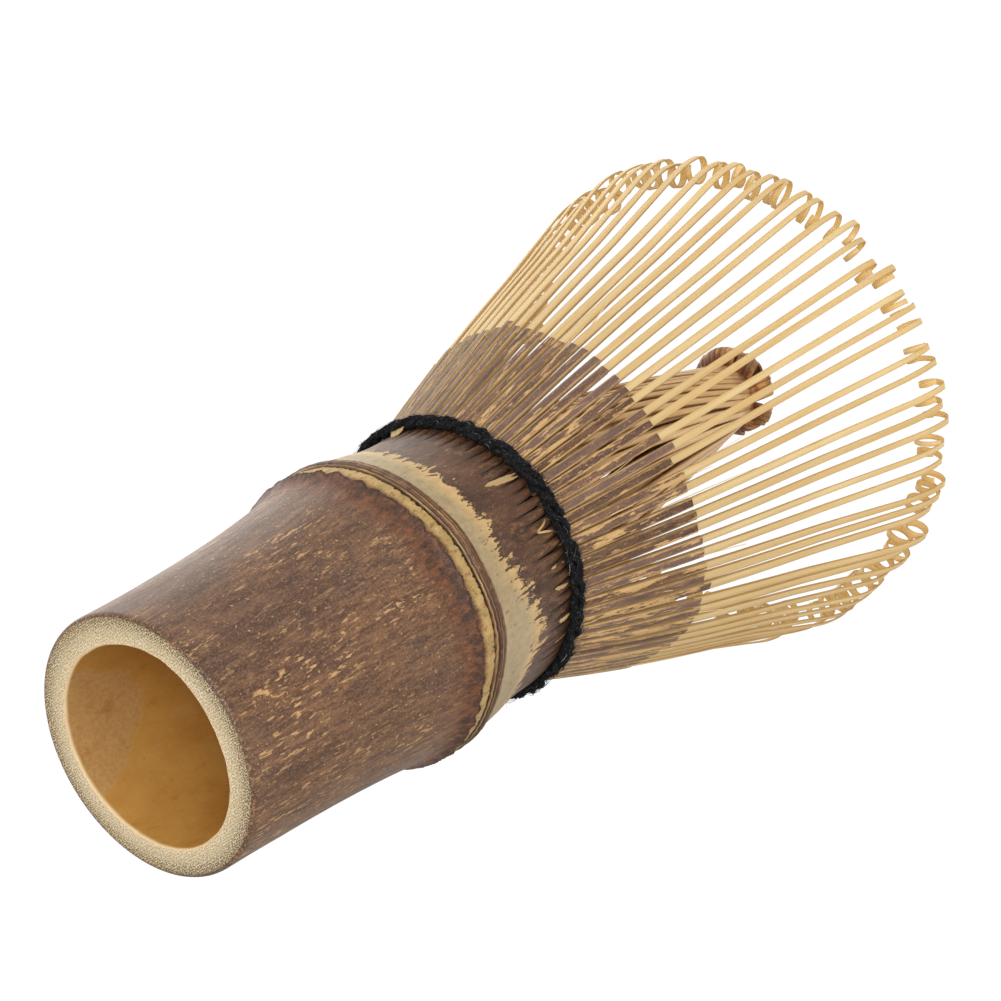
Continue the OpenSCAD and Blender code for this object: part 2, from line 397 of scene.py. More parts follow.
def bore_wall():
    k = Mat("bore_wall")
    x, y, z = k.xyz()
    cloud = k.noise(k.scaled(130, 130, 110), detail=5, rough=0.66)
    fine = k.noise(k.scaled(1500, 1500, 700), detail=4, rough=0.7)
    film = k.noise(k.scaled(420, 420, 300), detail=5, rough=0.7)
    wall = k.mix(k.ramp(cloud, (0.36, 0.0), (0.64, 1.0)), srgb(186, 136, 66), srgb(200, 154, 82))
    floor_ = k.mix(k.ramp(cloud, (0.38, 0.0), (0.62, 1.0)), srgb(166, 112, 40), srgb(186, 130, 55))
    deep = k.span(k.math("ADD", z, k.span(film, 0.3, 0.7, -0.0015, 0.0015)), (SCAR_Z - 4.5) * MM, (SCAR_Z - 2.5) * MM)
    base = k.mix(deep, wall, floor_)
    # a dry, grainy film is left on one side, inside the mouth
    patch = k.math("ADD", k.attr("film"), k.span(film, 0.3, 0.7, -1.3, 1.3))
    grainy = k.noise(k.scaled(2600, 2600, 2200), detail=3, rough=0.7)
    base = k.mix(k.span(patch, -0.5, 0.4, 0.0, 0.60), base, k.mix(k.ramp(grainy, (0.36, 0.0), (0.64, 1.0)), srgb(178, 142, 98), srgb(202, 168, 120)))
    line = k.math("MULTIPLY", k.span(patch, -0.45, -0.15), k.span(patch, -0.1, 0.15, 1.0, 0.0))
    base = k.mix(k.math("MULTIPLY", line, 0.18), base, srgb(212, 176, 116))
    base = k.mix(k.ramp(film, (0.56, 0.0), (0.68, 0.4)), base, srgb(206, 164, 98))
    base = k.mix(k.ramp(film, (0.32, 0.4), (0.44, 0.0)), base, srgb(160, 112, 44))
    base = k.mix(k.ramp(fine, (0.60, 0.0), (0.74, 0.3)), base, srgb(220, 178, 112))
    base = k.mix(k.ramp(fine, (0.27, 0.5), (0.37, 0.0)), base, srgb(136, 84, 32))
    lip = k.span(z, 0.00014, 0.00045, 1.0, 0.0)
    base = k.mix(lip, base, srgb(222, 198, 156))
    return k.finish(base, k.span(film, 0.3, 0.7, 0.36, 0.52), k.bump(grainy, 0.00006, 0.4, k.bump(fine, 0.00008, 0.4)), specular=0.35)


def scar_band():
    k = Mat("scar_band")
    x, y, z = k.xyz()
    rel = k.attr("rel")
    fine = k.noise(k.scaled(1900, 1900, 900), detail=5, rough=0.7)
    wob = k.noise(k.scaled(520, 520, 180), detail=4, rough=0.7)
    teeth = k.noise(k.scaled(2400, 2400, 300), detail=3, rough=0.6)
    col = k.mix(k.ramp(wob, (0.38, 0.0), (0.62, 1.0)), srgb(170, 146, 92), srgb(194, 164, 110))
    col = k.mix(k.ramp(fine, (0.52, 0.0), (0.64, 0.85)), col, srgb(134, 98, 60))
    col = k.mix(k.ramp(fine, (0.30, 0.5), (0.42, 0.0)), col, srgb(220, 194, 144))
    low = k.math("ADD", k.span(wob, 0.3, 0.7, -0.2, 0.2), k.span(fine, 0.3, 0.7, -0.25, 0.25))
    low = k.span(k.math("ADD", rel, low), 0.50, 1.10, 1.0, 0.0)
    col = k.mix(k.math("MULTIPLY", low, 0.9), col, k.mix(k.ramp(fine, (0.4, 0.0), (0.6, 1.0)), srgb(74, 42, 30), srgb(136, 84, 52)))
    high = k.span(k.math("ADD", rel, k.span(teeth, 0.35, 0.65, -0.22, 0.22)), 1.98, 2.10)
    col = k.mix(high, col, srgb(44, 31, 24))
    return k.finish(col, 0.55, k.bump(fine, 0.0001, 0.5), specular=0.4)


def ridge_bark():
    k = Mat("ridge_bark")
    rel = k.attr("rel")
    x, y, z = k.xyz()
    v = k.nt.nodes.new("ShaderNodeCombineXYZ")
    k.put(v.inputs[0], k.math("MULTIPLY", x, 120.0))
    k.put(v.inputs[1], k.math("MULTIPLY", y, 120.0))
    k.put(v.inputs[2], k.math("MULTIPLY", rel, 5.2))
    lines = k.noise(v.outputs[0], detail=3, rough=0.65, distort=0.25)
    fleck = k.noise(k.scaled(1500, 1500, 1500), detail=4, rough=0.7)
    long_ = k.noise(k.scaled(180, 180, 60), detail=3)
    col = k.ramp(lines, (0.36, srgb(56, 36, 25)), (0.47, srgb(98, 64, 40)), (0.57, srgb(132, 92, 56)), (0.68, srgb(184, 144, 94)))
    col = k.mix(k.ramp(fleck, (0.53, 0.0), (0.64, 0.75)), col, srgb(64, 40, 28))
    col = k.mix(k.ramp(fleck, (0.32, 0.6), (0.42, 0.0)), col, srgb(166, 128, 82))
    line1 = k.math("MULTIPLY", k.span(rel, 2.32, 2.38), k.span(rel, 2.44, 2.50, 1.0, 0.0))
    col = k.mix(k.math("MULTIPLY", line1, k.ramp(long_, (0.40, 0.2), (0.6, 0.85))), col, srgb(204, 170, 118))
    low = k.span(k.math("ADD", rel, k.span(fleck, 0.35, 0.65, -0.05, 0.05)), 2.26, 2.34, 1.0, 0.0)
    col = k.mix(low, col, srgb(30, 21, 17))
    line2 = k.math("MULTIPLY", k.span(rel, 2.54, 2.58), k.span(rel, 2.66, 2.74, 1.0, 0.0))
    col = k.mix(k.math("MULTIPLY", line2, 0.85), col, srgb(36, 25, 19))
    line3 = k.math("MULTIPLY", k.span(rel, 3.42, 3.50), k.span(rel, 3.54, 3.62, 1.0, 0.0))
    col = k.mix(k.math("MULTIPLY", line3, k.ramp(long_, (0.42, 0.7), (0.6, 0.1))), col, srgb(52, 36, 26))
    return k.finish(col, 0.45, k.bump(lines, 0.0002, 0.8), specular=0.5, coat=0.08)


def neck_skin():
    k = Mat("neck_skin")
    col, fine, marks, grain = skin_colour(k, fleck=0.55)
    x, y, z = k.xyz()
    patch = k.noise(k.scaled(230, 230, 130), detail=4, rough=0.6)
    col = k.mix(0.85, col, (0.72, 0.60, 0.50), mode="MULTIPLY")
    col = k.mix(k.ramp(patch, (0.38, 0.35), (0.56, 1.0)), col, (0.56, 0.50, 0.47), mode="MULTIPLY")
    rub = k.noise(k.scaled(1700, 1700, 420), detail=4, rough=0.75)
    col = k.mix(k.ramp(rub, (0.54, 0.0), (0.68, 0.7)), col, srgb(140, 104, 74))
    warm = k.noise(k.scaled(160, 160, 90), detail=3)
    col = k.mix(k.ramp(warm, (0.48, 0.0), (0.66, 0.25)), col, srgb(132, 94, 68))
    # waxy grey tan band above the ridge, with a ragged upper edge of lengthwise teeth
    rel = k.attr("wax_line")
    big = k.noise(k.scaled(300, 300, 40), detail=2, rough=0.5)
    teeth = k.noise(k.scaled(1500, 1500, 260), detail=5, rough=0.8, distort=0.25)
    isle = k.noise(k.scaled(1900, 1900, 760), detail=3, rough=0.6)
    rag = k.attr("ragged")
    long_ = k.noise(k.scaled(1250, 1250, 170), detail=4, rough=0.75, distort=0.2)
    e = k.math("ADD", rel, k.span(big, 0.3, 0.7, -0.35, 0.35))
    e = k.math("ADD", e, k.math("MULTIPLY", rag, k.span(long_, 0.36, 0.64, -2.3, 2.3)))
    e = k.math("ADD", e, k.span(teeth, 0.36, 0.64, -0.7, 0.7))
    e = k.math("ADD", e, k.span(isle, 0.32, 0.68, -0.75, 0.75))
    band = k.span(e, -0.06, 0.08, 1.0, 0.0)
    wax = k.noise(k.scaled(1100, 1100, 700), detail=5, rough=0.75)
    grey = k.mix(k.ramp(wax, (0.36, 0.0), (0.64, 1.0)), srgb(160, 142, 110), srgb(184, 164, 126))
    upper = k.span(k.math("ADD", rel, k.span(teeth, 0.3, 0.7, -0.5, 0.5)), -2.2, -0.5)
    grey = k.mix(upper, grey, k.mix(k.ramp(wax, (0.36, 0.0), (0.64, 1.0)), srgb(196, 162, 108), srgb(216, 184, 130)))
    grey = k.mix(k.ramp(isle, (0.62, 0.0), (0.67, 0.8)), grey, srgb(122, 98, 72))
    col = k.mix(band, col, grey)
    # a few torn pale chips above the band
    chip = k.noise(k.scaled(900, 900, 240), detail=4, rough=0.75, distort=0.3)
    col = k.mix(k.math("MULTIPLY", k.ramp(chip, (0.665, 0.0), (0.685, 1.0)), k.span(k.attr("rel"), 6.0, 8.0)), col, srgb(206, 170, 116))
    col = k.mix(k.span(k.attr("rel"), 3.9, 4.3, 0.7, 0.0), col, srgb(112, 80, 52))
    # painted shade: the skin is darkened beside the splits, where shade falls into them
    near = k.span(k.attr("cut"), 0.0, 0.30, 1.0, 0.0)
    col = k.mix(k.math("MULTIPLY", near, 0.75), col, srgb(40, 28, 23))
    n = k.bump(grain, 0.00004, 0.35)
    n = k.bump(fine, 0.00006, 0.4, n)
    n = k.bump(wax, 0.00012, 0.25, n)
    return k.finish(col, k.span(wax, 0.3, 0.7, 0.40, 0.55), n, specular=0.42, coat=0.05)


def slit_side_shade():
    k = Mat("slit_side_shade")
    g = k.noise(k.scaled(1500, 1500, 300), detail=3)
    # painted shade: mostly near black-brown for the shade inside the narrow splits, with tan patches where the cut wood
    # shows
    col = k.ramp(g, (0.35, srgb(46, 32, 25)), (0.55, srgb(92, 64, 40)), (0.72, srgb(168, 124, 72)))
    return k.finish(col, 0.7)


def tine_skin():
    k = Mat("tine_skin")
    v = k.attr("lay", True)
    col, fine, marks, grain = skin_colour(k, fleck=0.9, coarse=0.9, v=v)
    tone = k.attr("tone")
    col = k.mix(k.span(tone, 0.5, 1, 0.0, 0.55), col, srgb(128, 106, 100))
    col = k.mix(k.span(tone, 0.45, 0, 0.0, 0.6), col, srgb(76, 52, 40))
    # shaved patches where the skin has come away
    torn = k.noise(k.scaled(1100, 1100, 190, v), detail=4, rough=0.75)
    loss = k.math("ADD", torn, k.span(k.attr("worn"), 0, 1, -0.15, 0.10))
    col = k.mix(k.ramp(loss, (0.55, 0.0), (0.59, 0.95)), col, k.mix(fine, srgb(232, 198, 142), srgb(176, 134, 84)))
    edge = k.ramp(k.attr("edge"), (0.72, 0.0), (0.98, 0.8))
    col = k.mix(k.math("MULTIPLY", edge, k.ramp(torn, (0.38, 0.2), (0.54, 1.0))), col, srgb(204, 168, 116))
    return k.finish(col, 0.5, k.bump(fine, 0.00005, 0.4), specular=0.35)


def tine_blade(name, light, mid, deep, shine=0.45):
    k = Mat(name)
    v = k.attr("lay", True)
    streak = k.noise(k.scaled(2400, 2400, 90, v), detail=3, rough=0.6)
    slow = k.noise(k.scaled(300, 300, 60, v), detail=2)
    col = k.mix(k.ramp(streak, (0.38, 0.0), (0.66, 1.0)), light, mid)
    col = k.mix(k.ramp(slow, (0.42, 0.0), (0.70, 0.35)), col, deep)
    tone = k.attr("tone")
    col = k.mix(k.span(tone, 0, 1, 0.0, 0.35), col, deep)
    edge = k.ramp(k.attr("edge"), (0.6, 0.0), (1.0, 0.35))
    col = k.mix(edge, col, deep)
    x, y, z = k.xyz(v)
    curl = k.span(z, 0.050, 0.054)
    col = k.mix(k.math("MULTIPLY", curl, k.ramp(slow, (0.40, 0.0), (0.6, 0.35))), col, srgb(246, 220, 150))
    speck = k.noise(k.scaled(2600, 2600, 420, v), detail=2)
    col = k.mix(k.ramp(speck, (0.70, 0.0), (0.77, 0.35)), col, srgb(190, 146, 92))
    m = k.finish(col, shine, k.bump(streak, 0.00003, 0.35), specular=0.45)
    # thin bamboo lets some light through
    back = k.nt.nodes.new("ShaderNodeBsdfTranslucent")
    k.put(back.inputs["Color"], k.mix(0.5, col, srgb(255, 234, 170)))
    both = k.nt.nodes.new("ShaderNodeMixShader")
    both.inputs[0].default_value = 0.34
    k.nt.links.new(k.bsdf.outputs[0], both.inputs[1])
    k.nt.links.new(back.outputs[0], both.inputs[2])
    k.nt.links.new(both.outputs[0], k.out.inputs[0])
    return m


def core_strip():
    k = Mat("core_strip")
    v = k.attr("lay", True)
    streak = k.noise(k.scaled(2400, 2400, 160, v), detail=4, rough=0.6)
    col = k.mix(k.ramp(streak, (0.36, 0.0), (0.68, 1.0)), srgb(238, 210, 160), srgb(214, 178, 122))
    tone = k.attr("tone")
    col = k.mix(k.span(tone, 0, 1, 0.0, 0.6), col, srgb(196, 156, 102))
    edge = k.ramp(k.attr("edge"), (0.7, 0.0), (1.0, 0.6))
    col = k.mix(edge, col, srgb(146, 102, 60))
    tip = k.attr("tip")
    mott = k.noise(k.scaled(420, 420, 420), detail=3, rough=0.6)
    # painted shade: the knob's deep red-brown patches, dark streaks and near-black edge lines stand in for the shade in
    # the crevices between its curls; the orange-brown is its own colour
    brown = k.mix(k.ramp(mott, (0.38, 0.0), (0.52, 1.0)), srgb(196, 130, 60), srgb(104, 46, 16))
    brown = k.mix(k.ramp(streak, (0.46, 0.0), (0.64, 0.8)), brown, srgb(80, 34, 12))
    brown = k.mix(k.math("MULTIPLY", edge, 0.8), brown, srgb(64, 26, 10))
    col = k.mix(k.math("MULTIPLY", tip, k.span(mott, 0.28, 0.50, 0.60, 1.0)), col, brown)
    return k.finish(col, 0.5, k.bump(streak, 0.00005, 0.5), specular=0.35)


def thread_black():
    k = Mat("cotton_thread")
    g = k.noise(k.scaled(3800, 3800, 3800), detail=4, rough=0.7)
    col = k.ramp(g, (0.3, srgb(10, 11, 13)), (0.52, srgb(26, 27, 31)), (0.70, srgb(62, 64, 70)))
    return k.finish(col, 0.9, k.bump(g, 0.00015, 0.9), specular=0.15)


def fuzz_mat_with_glints():
    k = Mat("thread_fuzz")
    tone = k.attr("tone")
    # painted glints: the palest loose fibres, pale grey to near white, stand in for light caught on them; the rest keep
    # the thread's near-black
    col = k.ramp(tone, (0.0, srgb(12, 13, 16)), (0.55, srgb(26, 28, 33)), (0.86, srgb(70, 74, 80)), (0.96, srgb(120, 124, 128)), (1.0, srgb(190, 192, 194)))
    return k.finish(col, 0.8, specular=0.15)


SKIN, LIP, GRAIN, BORE = handle_skin(), scar_lip(), end_grain(), bore_wall()
BAND, RIDGE, NECK, SLIT_SHADE = scar_band(), ridge_bark(), neck_skin(), slit_side_shade()
TSKIN = tine_skin()
BLADE = tine_blade("tine_blade", srgb(250, 236, 192), srgb(241, 217, 160), srgb(222, 187, 126))
SIDE = tine_blade("tine_side", srgb(240, 218, 168), srgb(214, 184, 130), srgb(152, 118, 76), 0.55)
CORE, THREAD, FUZZ = core_strip(), thread_black(), fuzz_mat_with_glints()

# ---------------------------------------------------------------- handle
around = ripple(1, 6, 2, 7, 0.02)


def skin_r(z):
    """Radius of the handle's skin, z above its open end."""
    z = np.asarray(z, float)
    return 13.5 + 0.25 * np.clip(z, 0, None) / 6.75 * 0.98 + 1.05 * np.power(np.clip(z, 0, None) / 28.3, 3.2)


def handle_outer():
    nt, zs = 480, np.concatenate([[0.0, 0.06, 0.16, 0.3, 0.5], np.linspace(0.8, SCAR_Z - 2.4, 64), np.linspace(SCAR_Z - 2.3, SCAR_Z + 0.05, 26)])
    t = np.linspace(0, TAU, nt, endpoint=False)
    rag = ripple(11, 26, 7, 60)
    slow = ripple(12, 8, 2, 12)
    T, Z = np.meshgrid(t, zs)
    R = skin_r(Z) + 0.06 * around(T, Z) * np.clip(Z / 4, 0, 1)
    R = R - 0.35 * np.exp(-Z / 0.12) * (Z < 0.5)
    f = np.clip((Z - (SCAR_Z - 2.3)) / 2.35, 0, 1)
    r0 = skin_r(SCAR_Z - 2.3)
    R = np.where(f > 0, r0 + (16.42 - r0) * (0.30 * f + 0.70 * f**3) + 0.06 * rag(T) * f, R)
    Z = Z + f * (0.09 * rag(T) + 0.16 * slow(T))
    v = polar(R, T, Z).reshape(-1, 3)
    o = piece("handle_skin", v, grid_faces(len(zs), nt, wrap=True), [SKIN], angle=60)
    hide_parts("handle")
    # the torn lip of the sheath scar, rolled over and back in under the band
    nt = 960
    t = np.linspace(0, TAU, nt, endpoint=False)
    m = 14
    T, U = np.meshgrid(t, np.linspace(0, 1, m))
    chips = ripple(13, 60, 40, 420)
    z0 = SCAR_Z + 0.05 + 0.09 * rag(T) + 0.16 * slow(T)
    ang = U * math.pi
    h = 0.44 + 0.04 * np.clip(chips(T), -1.6, 1.6)
    R = 16.42 + 0.06 * rag(T) + 0.24 * np.sin(ang) - 0.50 * (1 - np.cos(ang)) / 2 + 0.035 * chips(T) * np.sin(ang)
    Z = z0 + h * np.sin(ang * 0.5)
    o = piece("scar_lip", polar(R, T, Z).reshape(-1, 3), grid_faces(m, nt, wrap=True), [LIP], angle=60)
    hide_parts("handle")


def handle_inner():
    nt = 360
    t = np.linspace(0, TAU, nt, endpoint=False)
    inner = ripple(21, 5, 2, 5, 0.03)
    facet = ripple(22, 8, 9, 30)

    def bore(T, Z):
        return BORE_R + 0.05 * inner(T, Z) + 0.02 * facet(T) * np.exp(-Z / 1.5)

    # end face, from the rounded skin edge to the bore's broken edge
    us = np.linspace(0, 1, 15)
    T, U = np.meshgrid(t, us)
    r_in = bore(T, 0) + 0.16
    R = r_in + (HANDLE_R - 0.35 - r_in) * U
    o = piece("handle_end", polar(R, T, 0 * R).reshape(-1, 3), grid_faces(len(us), nt, wrap=True, flip=True), [GRAIN], angle=60)
    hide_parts("handle")
    # bore, with a soft turn into the diaphragm
    fil = 2.4
    zs = np.concatenate([[0.0, 0.05, 0.1, 0.18, 0.4], np.linspace(1, SCAR_Z - fil, 40)])
    T, Z = np.meshgrid(t, zs)
    R = bore(T, Z) + 0.16 * np.clip(1 - Z / 0.18, 0, 1) ** 1.5
    rows = [polar(R, T, Z).reshape(-1, 3)]
    a = np.linspace(0, math.pi / 2, 10)[1:]
    T2, A2 = np.meshgrid(t, a)
    R2 = bore(T2, SCAR_Z) - fil * (1 - np.cos(A2))
    Z2 = SCAR_Z - fil + fil * np.sin(A2) * 0.92
    rows.append(polar(R2, T2, Z2).reshape(-1, 3))
    us = np.linspace(1, 0.004, 16)[1:]
    T3, U3 = np.meshgrid(t, us)
    R3 = (bore(T3, SCAR_Z) - fil) * U3
    Z3 = SCAR_Z - 0.08 * fil - 0.5 * (1 - U3**2) + 0.05 * ripple(23, 6, 1, 5)(T3, R3 * 4)
    rows.append(polar(R3, T3, Z3).reshape(-1, 3))
    v = np.concatenate(rows)
    n = len(v) // nt
    o = piece("handle_bore", v, grid_faces(n, nt, wrap=True, flip=True), [BORE], angle=60)
    psi = np.degrees(np.arctan2(v[:, 1], v[:, 0]))
    away = (psi - 118 + 180) % 360 - 180
    at = o.data.attributes.new("film", "FLOAT", "POINT")
    at.data.foreach_set("value", np.clip(9.5 - v[:, 2] - 0.006 * away**2, -12, 12).astype(np.float32))
    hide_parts("handle")


def node_rings():
    nt = 480
    t = np.linspace(0, TAU, nt, endpoint=False)
    rag, slow = ripple(31, 30, 12, 120), ripple(32, 8, 2, 9)
    warp = node_warp(t)
    for name, node, mat, slot_, zr, rr in (
        ("scar_band", "sheath_scar", BAND, "scar_band",
         [-0.6, 0.0, 0.5, 1.2, 1.7, 2.05, 2.2, 2.26, 2.34], [15.6, 15.9, 16.14, 16.30, 16.34, 16.32, 16.22, 16.04, 15.96]),
        ("nodal_ridge_bark", "nodal_ridge", RIDGE, "ridge_bark",
         [2.20, 2.26, 2.32, 2.40, 2.50, 2.56, 2.64, 2.8, 3.1, 3.4, 3.7, 3.95, 4.2], [15.96, 16.10, 16.34, 16.50, 16.50, 16.44, 16.54, 16.62, 16.64, 16.60, 16.52, 16.40, 16.18])):
        zs = np.linspace(zr[0], zr[-1], 44)
        T, Z = np.meshgrid(t, zs)
        Rr = np.interp(zs, zr, rr)[:, None] + 0.02 * rag(T + (1.0 if node == "sheath_scar" else 0.4))
        if node == "nodal_ridge":
            Rr = Rr + 0.022 * np.sin(zs * 21)[:, None] * (zs > 2.6)[:, None]
        o = piece(name, polar(Rr, T, Z + SCAR_Z + warp[None, :]).reshape(-1, 3), grid_faces(len(zs), nt, wrap=True), [mat], angle=60)
        at = o.data.attributes.new("rel", "FLOAT", "POINT")
        at.data.foreach_set("value", np.repeat(zs, nt).astype(np.float32))
        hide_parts(node)


def neck_r(z):
    z = np.asarray(z, float)
    return np.interp(z, [RIDGE_Z - 0.9, RIDGE_Z - 0.4, RIDGE_Z, RIDGE_Z + 1.0, RIDGE_Z + 2.2, RIDGE_Z + 3.6, RIDGE_Z + 5.0, RIDGE_Z + 6.5, RIDGE_Z + 8.8, TOP_Z],
                     [16.42, 16.34, 16.25, 16.12, 16.02, 15.86, 15.64, 15.42, 15.28, 15.25])


slit_len = rng.uniform(3.4, 6.2, TINES)
slit_wide = rng.uniform(0.24, 0.55, TINES)


def at_angle(points):
    """A function of the angle round the axis through the given (degrees, value) points."""
    a, v = zip(*sorted(points))
    a, v = np.radians(a), np.array(v, float)
    a3, v3 = np.concatenate([a - TAU, a, a + TAU]), np.tile(v, 3)
    g = np.linspace(-math.pi, math.pi, 721)
    y = np.interp(g, a3, v3)
    y = np.convolve(np.concatenate([y[-9:-1], y, y[1:9]]), np.ones(17) / 17, "valid")
    return lambda t: np.interp((np.asarray(t) + math.pi) % TAU - math.pi, g, y)


# where the groove and the waxy band's upper edge run, round the culm
node_warp = at_angle([(-165, 0.1), (-140, -0.05), (-116, -0.1), (-98, 0.2), (-85, 0.05), (-63, 0.3), (-52, 0.1), (-44, -0.3), (-32, -0.5), (0, -0.1), (60, 0.2), (120, 0.0)])
flame_z = at_angle([(-165, 39.0), (-138, 38.5), (-119, 37.9), (-106, 38.3), (-94, 38.4), (-79, 38.5), (-70, 39.3), (-63, 40.6), (-45, 41.9), (-37, 40.2), (-24, 39.3), (10, 39.0), (60, 40.5), (120, 38.6), (160, 39.6)])
ragged = at_angle([(-165, 0.15), (-138, 0.2), (-106, 0.25), (-90, 0.4), (-79, 0.6), (-63, 0.9), (-45, 1.0), (-24, 0.8), (20, 0.5), (90, 0.4), (150, 0.3)])
cut_h = at_angle([(-166, 17.2), (-137, 16.3), (-117, 15.2), (-100, 14.9), (-78, 15.2), (-61, 15.9), (-46, 17.0), (-32, 17.8), (-19, 18.3), (-7, 17.4), (40, 16.4), (120, 16.6)])
patchy = at_angle([(-170, 0.2), (-130, 0.25), (-100, 0.3), (-85, 0.55), (-60, 0.75), (-40, 0.9), (-10, 0.8), (40, 0.4), (120, 0.3)])


def put_attrs(o, tone, worn=None, edge=None, lay=None, tip=None):
    for nm, val in (("tone", tone), ("worn", worn), ("edge", edge), ("tip", tip)):
        if val is not None:
            at = o.data.attributes.new(nm, "FLOAT", "POINT")
            at.data.foreach_set("value", np.concatenate(val).astype(np.float32))
    if lay is not None:
        at = o.data.attributes.new("lay", "FLOAT_VECTOR", "POINT")
        at.data.foreach_set("vector", np.concatenate(lay).astype(np.float32).ravel())


def neck():
    """The neck's skin in one sheet that opens along each split, with the splits' own side walls."""
    half = np.array([0, 0.1, 0.22, 0.4, 0.62, 1.0])
    u = np.concatenate([half / 2, 1 - half[-2::-1] / 2])
    cols = len(u)
    zs = np.concatenate([np.linspace(RIDGE_Z - 0.75, TOP_Z - 6.6, 26), np.linspace(TOP_Z - 6.4, TOP_Z, 40)])
    k0 = int(np.searchsorted(zs, TOP_Z - 6.5))
    verts, faces, idx, REL, FL, CUT, RAG = [], [], [], [], [], [], []
    n = 0
    edge = TAU / TINES / 2
    for i in range(TINES):
        c = TAU * i / TINES
        halfs, gaps = [], []
        for side, j in ((-1, i), (1, (i + 1) % TINES)):
            start = TOP_Z - slit_len[j]
            f = np.clip((zs - start) / slit_len[j], 0, 1)
            gap = f**0.8 * slit_wide[j] / 2
            halfs.append(side * (edge - gap / NECK_R))
            gaps.append(np.where(f > 0, 0.0, (start - zs) * 0.35))
        lo, hi = halfs
        T = c + lo[:, None] + (hi - lo)[:, None] * u[None, :]
        fade = np.clip((zs - (RIDGE_Z - 0.75)) / 5, 0, 1)
        Z = zs[:, None] + (node_warp(T) * (1 - fade[:, None]) ** 1.5)
        f0 = np.clip((zs - (TOP_Z - 4.2)) / 4.2, 0, 1)[:, None]
        R = neck_r(zs)[:, None] - 0.12 * f0 * (2 * u[None, :] - 1) ** 4 + 0.04 * f0 * math.sin(i * 12.9) + 0 * T
        g = polar(R, T, Z).reshape(-1, 3)
        verts.append(g)
        across = np.minimum(u, 1 - u)[None, :] * (hi - lo)[:, None] * NECK_R
        which = np.where(u < 0.5, 0, 1)
        tip = np.stack(gaps, 0)[which].T
        CUT.append(np.hypot(across, tip).reshape(-1))
        REL.append(np.repeat(zs - SCAR_Z, cols))
        FL.append((Z - flame_z(T)).reshape(-1))
        RAG.append((ragged(T) + 0 * Z).reshape(-1))
        q = grid_faces(len(zs), cols, start=n)
        faces.append(q)
        idx += [0] * len(q)
        n += len(g)
        for col, flip in ((0, False), (cols - 1, True)):
            zz = Z[k0:, col]
            tt = T[k0:, col]
            rr = R[k0:, col]
            w = np.stack([polar(rr - d, tt, zz) for d in (0.0, 0.5, 1.6)], 1).reshape(-1, 3)
            verts.append(w)
            q = grid_faces(len(zz), 3, start=n, flip=not flip)
            faces.append(q)
            idx += [1] * len(q)
            n += len(w)
            for L in (CUT, REL, FL, RAG):
                L.append(np.zeros(len(w)))
    o = piece("neck_skin", np.concatenate(verts), np.concatenate(faces), [NECK, SLIT_SHADE], idx, angle=None)
    for nm, val in (("rel", REL), ("wax_line", FL), ("cut", CUT), ("ragged", RAG)):
        at = o.data.attributes.new(nm, "FLOAT", "POINT")
        at.data.foreach_set("value", np.concatenate(val).astype(np.float32))
    o.data.set_sharp_from_angle(angle=math.radians(50))
    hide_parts("neck")
    # the inside of the splits: a backing ring and the cavity wall, both dark with the slit material's painted shade
    nt = 240
    t = np.linspace(0, TAU, nt, endpoint=False)
    prof = [(NECK_R - 1.5, TOP_Z - 7), (NECK_R - 1.5, TOP_Z - 1.2), (NECK_R - 2.2, TOP_Z - 0.9), (12.6, TOP_Z - 0.3), (CAVITY_R, TOP_Z - 0.2), (CAVITY_R, GROOVE_Z), (0.05, GROOVE_Z - 0.3)]
    rows = [polar(np.full(nt, r), t, np.full(nt, z)) for r, z in prof]
    o = piece("neck_inside", np.concatenate(rows), grid_faces(len(rows), nt, wrap=True), [SLIT_SHADE], angle=40)
    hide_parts("neck")


# ---------------------------------------------------------------- strips
def strip(pts, side, wide, thick, chamfer=0.22, start=0):
    """A strip of bamboo along pts. side is the width's direction at each point. Returns vertices, faces, each face's place round the section (0 outer, 2 and 6 sides, 4 inner), and each vertex's place across, length along, and nearness to an edge."""
    pts = np.asarray(pts, float)
    n = len(pts)
    tan = np.gradient(pts, axis=0)
    tan /= np.linalg.norm(tan, axis=1)[:, None]
    side = side - (side * tan).sum(1)[:, None] * tan
    side /= np.linalg.norm(side, axis=1)[:, None]
    out = np.cross(tan, side)
    w, h = np.broadcast_to(wide, n) / 2, np.broadcast_to(thick, n) / 2
    c = np.minimum(w, h) * chamfer
    ring, across = [], []
    for sx, sy, cx, cy in ((-1, 1, 1, 0), (0, 1, 0, 0), (1, 1, -1, 0), (1, 1, 0, -1), (1, -1, 0, 1), (1, -1, -1, 0), (-1, -1, 1, 0), (-1, -1, 0, 1), (-1, 1, 0, -1)):
        ring.append(pts + side * ((sx * w + cx * c)[:, None]) + out * ((sy * h + cy * c)[:, None]))
        across.append(np.stack([sx * w, sy * h], 1))
    m = len(ring)
    v = np.stack(ring, 1).reshape(-1, 3)
    f = grid_faces(n, m, wrap=True, flip=True).tolist()
    place = [0, 0, 1, 2, 3, 4, 5, 6, 7] * (n - 1)
    f.append(list(range(m)))
    f.append([(n - 1) * m + k for k in range(m - 1, -1, -1)])
    place += [8, 8]
    f = [[a + start for a in q] for q in f]
    along = np.concatenate([[0], np.cumsum(np.linalg.norm(np.diff(pts, axis=0), axis=1))])
    ac = np.stack(across, 1).reshape(-1, 2)
    lay = np.stack([ac[:, 0], ac[:, 1], np.repeat(along, m)], 1)
    edge = np.tile(np.array([1, 0, 1, 1, 1, 1, 1, 1, 1], float), n)
    return v, f, place, lay, edge


def tine_face(h):
    """Radius of a tine's outer face, h above the neck's top."""
    return np.where(h > 0, ROOT_R + SLOPE * h + BOW * h * h, ROOT_R + 0.35 * SLOPE * h * 0)


